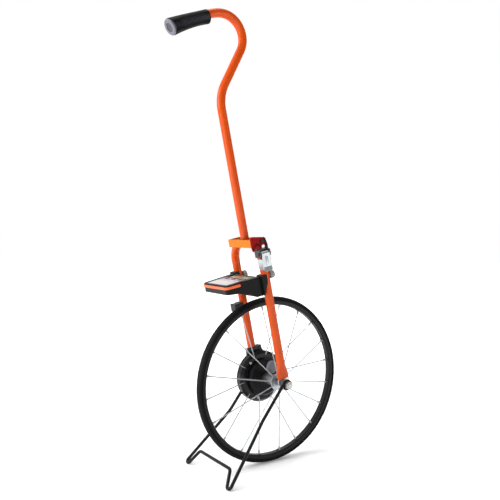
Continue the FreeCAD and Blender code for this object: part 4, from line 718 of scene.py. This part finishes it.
def make_display():
    """The clear window, and the display's border and five noughts with a point, seen through it."""
    lens = prism(rounded_box(LENS_FWD, LENS_LEFT, 1.5), LENS_BASE, LENS_TOP)
    thing = piece("display_lens", lens, "window_clear", "frame", ON_FRAME, rounding=0.3)
    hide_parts("display_window")
    border = frame_strip(rounded_box(*BORDER_OUTER, 1.0), rounded_box(*BORDER_INNER, 1.6),
                         LCD_TOP, LCD_TOP + BORDER_THICK)
    piece("display_border", border, "cap_grey", "frame", ON_FRAME, finish="lcd_cream")
    lift = LCD_TOP + INK_LIFT
    figures = []
    for place in range(FIGURES):
        left = FIGURES_LEFT - FIGURES_STEP * place
        figures.append(moved(nought(), shift(FIGURES_BASE, left, lift)))
    span = (-POINT_HALF, POINT_HALF)
    point = prism(rounded_box(span, span, 0.4, 3), 0, INK)
    figures.append(moved(point, shift(FIGURES_BASE, POINT_LEFT, lift)))
    piece("display_figures", joined(*figures), "case_black", "frame", ON_FRAME, finish="print_dark")


def make_face_print():
    """A plain printed field and marks on the key panel."""
    inked = PANEL_TOP + FIELD_THICK
    field = prism(rounded_box(FIELD_FWD, FIELD_LEFT, 2.0), PANEL_TOP, inked)
    piece("panel_field", field, "panel_lilac", "frame", ON_FRAME, finish="print_white")
    lines = [prism(rounded_box(LINE_FWD, LINE_LEFT, 0.35, 3), inked, inked + FIELD_THICK)]
    for left, marks in ((KEYS_STEP, 1), (0, 2), (-KEYS_STEP, 3)):
        for mark in range(marks):
            middle = left + MARK_STEP * (mark - (marks - 1) / 2)
            across = (middle - MARK_HALF, middle + MARK_HALF)
            lines.append(prism(rounded_box(MARK_FWD, across, 0.5, 3), inked, inked + FIELD_THICK))
    piece("panel_marks", joined(*lines), "key_purple", "frame", ON_FRAME)


def make_key_detail():
    """A raised ring round each key and a dished top on it."""
    ring = turned_closed([(0, 4.6), (0.35, 4.8), (0.35, 5.4), (0, 5.7)], 48)
    dish = turned([(0, 3.9), (0.25, 3.6), (0.1, 2.4), (0.02, 0.01)], 40)
    keys = {"reset": -KEYS_STEP, "hold": 0, "power": KEYS_STEP}
    rings = [moved(ring, shift(KEYS_FWD, left, PANEL_TOP)) for left in keys.values()]
    piece("key_rings", joined(*rings), "panel_lilac", "frame", ON_FRAME, finish="print_grey")
    for name, left in keys.items():
        top = moved(dish, shift(KEYS_FWD, left, KEY_TOP))
        piece(f"key_dish_{name}", top, "key_purple", f"{name}_key", ON_FRAME)


def make_case_screws():
    """Two screws in the counter's underside."""
    screws = []
    for side in (-1, 1):
        spot = shift(CASE_SCREWS_FWD, side * CASE_SCREWS_SIDE, CASE_SCREWS_UP)
        screws.append(moved(cross_screw(2.4, 1.2, 1.4, 0.7), spot @ FACING_DOWN))
    piece("case_screws", joined(*screws), "steel_zinc", "frame", ON_FRAME)


def make_door_ribs():
    """Finger ribs on the battery door."""
    ribs = []
    for index in range(DOOR_RIBS):
        left = DOOR_RIBS_LEFT + DOOR_RIBS_STEP * index
        outline = rounded_box(DOOR_RIBS_FWD, (left, left + DOOR_RIB_WIDTH), 0.5, 3)
        ribs.append(prism(outline, *DOOR_RIBS_UP))
    piece("door_ribs", joined(*ribs), "case_black", "battery_cover", ON_FRAME)


# ---------------------------------------------------------------- handle

GRIP_START, GRIP_HEADING, GRIP_BEND, GRIP_TURN = (4.131, 680.652), 186.95, 330.0, 13.7
GRIP_BORE, SKIN_DROP, RIB_DEPTH, RIB_PITCH, SEAM_RISE = 8.05, 0.15, 0.28, 2.6, 0.12
RIBS_FROM, RIBS_TO, RIBS_FADE = 0.1, 0.86, 0.08
GRIP_RADII = ((0.0, 12.9), (0.3, 12.5), (0.6, 13.3), (1.0, 15.4))
GRIP_DROPS = ((0.0, 4.0), (0.3, 3.5), (0.6, 2.4), (1.0, 0.0))


def along_bend(share, out, angle, drop=0.0):
    """A point round the handle's last bend, at a share of the grip's length."""
    heading = math.radians(GRIP_HEADING + GRIP_TURN * share)
    first = math.radians(GRIP_HEADING)
    fwd = GRIP_START[0] + GRIP_BEND * (math.sin(heading) - math.sin(first))
    up = GRIP_START[1] + GRIP_BEND * (math.cos(first) - math.cos(heading))
    lift = out * math.cos(angle) + drop
    return (fwd - lift * math.sin(heading), out * math.sin(angle), up + lift * math.cos(heading))


def smooth(share, knots):
    """The smooth curve through (share, amount) pairs."""
    total = 0.0
    for place, amount in knots:
        weight = 1.0
        for other, _ in knots:
            if other != place:
                weight *= (share - other) / (place - other)
        total += amount * weight
    return total


def rib_depth(share, length):
    """How far the ribs cut in at a share of the grip's length: they fade out near its ends."""
    middle = max(0.0, min(1.0, (share - RIBS_FROM) / RIBS_FADE, (RIBS_TO - share) / RIBS_FADE))
    wave = 0.5 - 0.5 * math.cos(2 * math.pi * share * length / RIB_PITCH)
    return RIB_DEPTH * middle * wave


def make_grip():
    """Soft rubber: shallow ribs round the palm, rolled ends and a moulding seam."""
    rows, around = 150, 96
    length = GRIP_BEND * math.radians(GRIP_TURN)
    turns = [2 * math.pi * step / around for step in range(around)]
    seams = (around // 4, 3 * around // 4)
    ends = [(0.0, -3.2), (0.0, -1.4), (0.004, -0.7), (0.012, -0.2)]
    shares = ends + [(0.02 + 0.96 * i / rows, 0.0) for i in range(rows + 1)]
    shares += [(1 - share, roll) for share, roll in reversed(ends)]
    points, faces = [], []
    for share, roll in shares:
        radius = smooth(share, GRIP_RADII) + roll - rib_depth(share, length) - SKIN_DROP
        drop = smooth(share, GRIP_DROPS)
        for step, angle in enumerate(turns):
            seam = SEAM_RISE if step in seams else 0.0
            points.append(along_bend(share, radius + seam, angle, drop))
    last = len(shares) - 1
    for row in range(last):
        for step in range(around):
            a, b = row * around + step, row * around + (step + 1) % around
            faces.append((a, b, b + around, a + around))
    for share, rim in ((0.0, 0), (1.0, last * around)):
        start = len(points)
        points += [along_bend(share, GRIP_BORE, angle) for angle in turns]
        for step in range(around):
            following = (step + 1) % around
            faces.append((rim + step, rim + following, start + following, start + step))
    thing = piece("grip_sleeve", (points, faces), "grip_rubber", "handle", ON_FRAME, crease=60)
    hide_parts("grip")


# ---------------------------------------------------------------- light and camera

BRIGHT_SIDE = Vector((-0.6, 0.7, 0.4)).normalized()
WALL_DIM, WALL_BRIGHT, WALL_SEEN = 0.22, 1.0, 1.0
FLOOR_HALF = 6.0
# name, place, what it points at, width and height in metres, power in watts
LIGHTS = (
    ("key", (-1.9, 0.6, 1.3), (0, 0, 0.35), (1.4, 1.6), 32),
    ("strip", (-1.75, 0.05, 0.55), (0, 0, 0.45), (0.14, 1.5), 6.5),
    ("rim", (1.7, 1.2, 1.0), (0, 0, 0.4), (0.8, 1.6), 10),
    ("side", (1.2, -1.75, 0.5), (0, 0, 0.4), (0.9, 1.3), 5),
    ("top", (-0.2, 0.3, 2.4), (0, 0, 0.3), (1.4, 1.4), 22),
)
CAMERA_AT, CAMERA_TURN, CAMERA_TILT = (-0.6682, -0.9834, 0.4521), -33.52, 2.14
CAMERA_LENS, CAMERA_SENSOR = 45.5, 36


def link(name, data):
    """Put new data into the scene as an object."""
    thing = bpy.data.objects.new(name, data)
    bpy.context.collection.objects.link(thing)
    return thing


def area_light(name, place, aim, size, power):
    lamp = bpy.data.lights.new(name, "AREA")
    lamp.shape = "RECTANGLE"
    lamp.size, lamp.size_y = size
    lamp.energy = power
    thing = link(name, lamp)
    thing.location = place
    thing.rotation_euler = (Vector(place) - Vector(aim)).to_track_quat("Z", "Y").to_euler()


def light_walls(tree):
    """White walls: bright to the left, behind and above, dim on the near and right sides."""
    def put(kind, **settings):
        node = tree.nodes.new("ShaderNode" + kind)
        for key, given in settings.items():
            setattr(node, key, given)
        return node
    ways = put("TexCoord")
    toward = put("VectorMath", operation="DOT_PRODUCT")
    toward.inputs[1].default_value = BRIGHT_SIDE
    level = put("MapRange")
    set_range(level, -0.5, 0.5, WALL_DIM, WALL_BRIGHT)
    seen = put("LightPath")
    pick = put("Mix")
    pick.inputs[3].default_value = WALL_SEEN
    back = tree.nodes["Background"]
    back.inputs["Color"].default_value = (1, 1, 1, 1)
    tree.links.new(ways.outputs["Generated"], toward.inputs[0])
    tree.links.new(toward.outputs["Value"], level.inputs["Value"])
    tree.links.new(seen.outputs["Is Camera Ray"], pick.inputs[0])
    tree.links.new(level.outputs[0], pick.inputs[2])
    tree.links.new(pick.outputs[0], back.inputs["Strength"])


def make_stage():
    mesh = bpy.data.meshes.new("floor")
    corners = [(x * FLOOR_HALF, y * FLOOR_HALF, 0) for x, y in ((-1, -1), (1, -1), (1, 1), (-1, 1))]
    mesh.from_pydata(corners, [], [(0, 1, 2, 3)])
    mesh.materials.append(MATERIALS["floor_pale"])
    link("floor", mesh)
    world = bpy.data.worlds.new("studio")
    bpy.context.scene.world = world
    world.use_nodes = True
    light_walls(world.node_tree)
    for light in LIGHTS:
        area_light(*light)


def make_camera():
    lens = bpy.data.cameras.new("camera")
    lens.lens = CAMERA_LENS
    lens.sensor_width = CAMERA_SENSOR
    camera = link("camera", lens)
    turn, tilt = math.radians(CAMERA_TURN), math.radians(CAMERA_TILT)
    level = math.cos(tilt)
    back = Vector((math.sin(turn) * level, -math.cos(turn) * level, math.sin(tilt)))
    camera.location = CAMERA_AT
    camera.rotation_euler = back.to_track_quat("Z", "Y").to_euler()
    bpy.context.scene.camera = camera
    bpy.context.scene.view_settings.view_transform = "Standard"


OTHER_FINISH = {"handle_pin": "catch_steel", "latch_yoke": "yoke_steel"}
for node, thing in frame["nodes"].items():
    thing.data.materials.clear()
    thing.data.materials.append(MATERIALS[OTHER_FINISH.get(node, SLOT_OF[node])])

make_camera()
make_stage()
make_tyre()
make_eyelets()
make_drum_detail()
make_nuts()
make_welds()
make_cover_screws()
make_knobs()
make_latch_detail()
make_pivot_heads()
make_display()
make_face_print()
make_key_detail()
make_case_screws()
make_door_ribs()
make_grip()
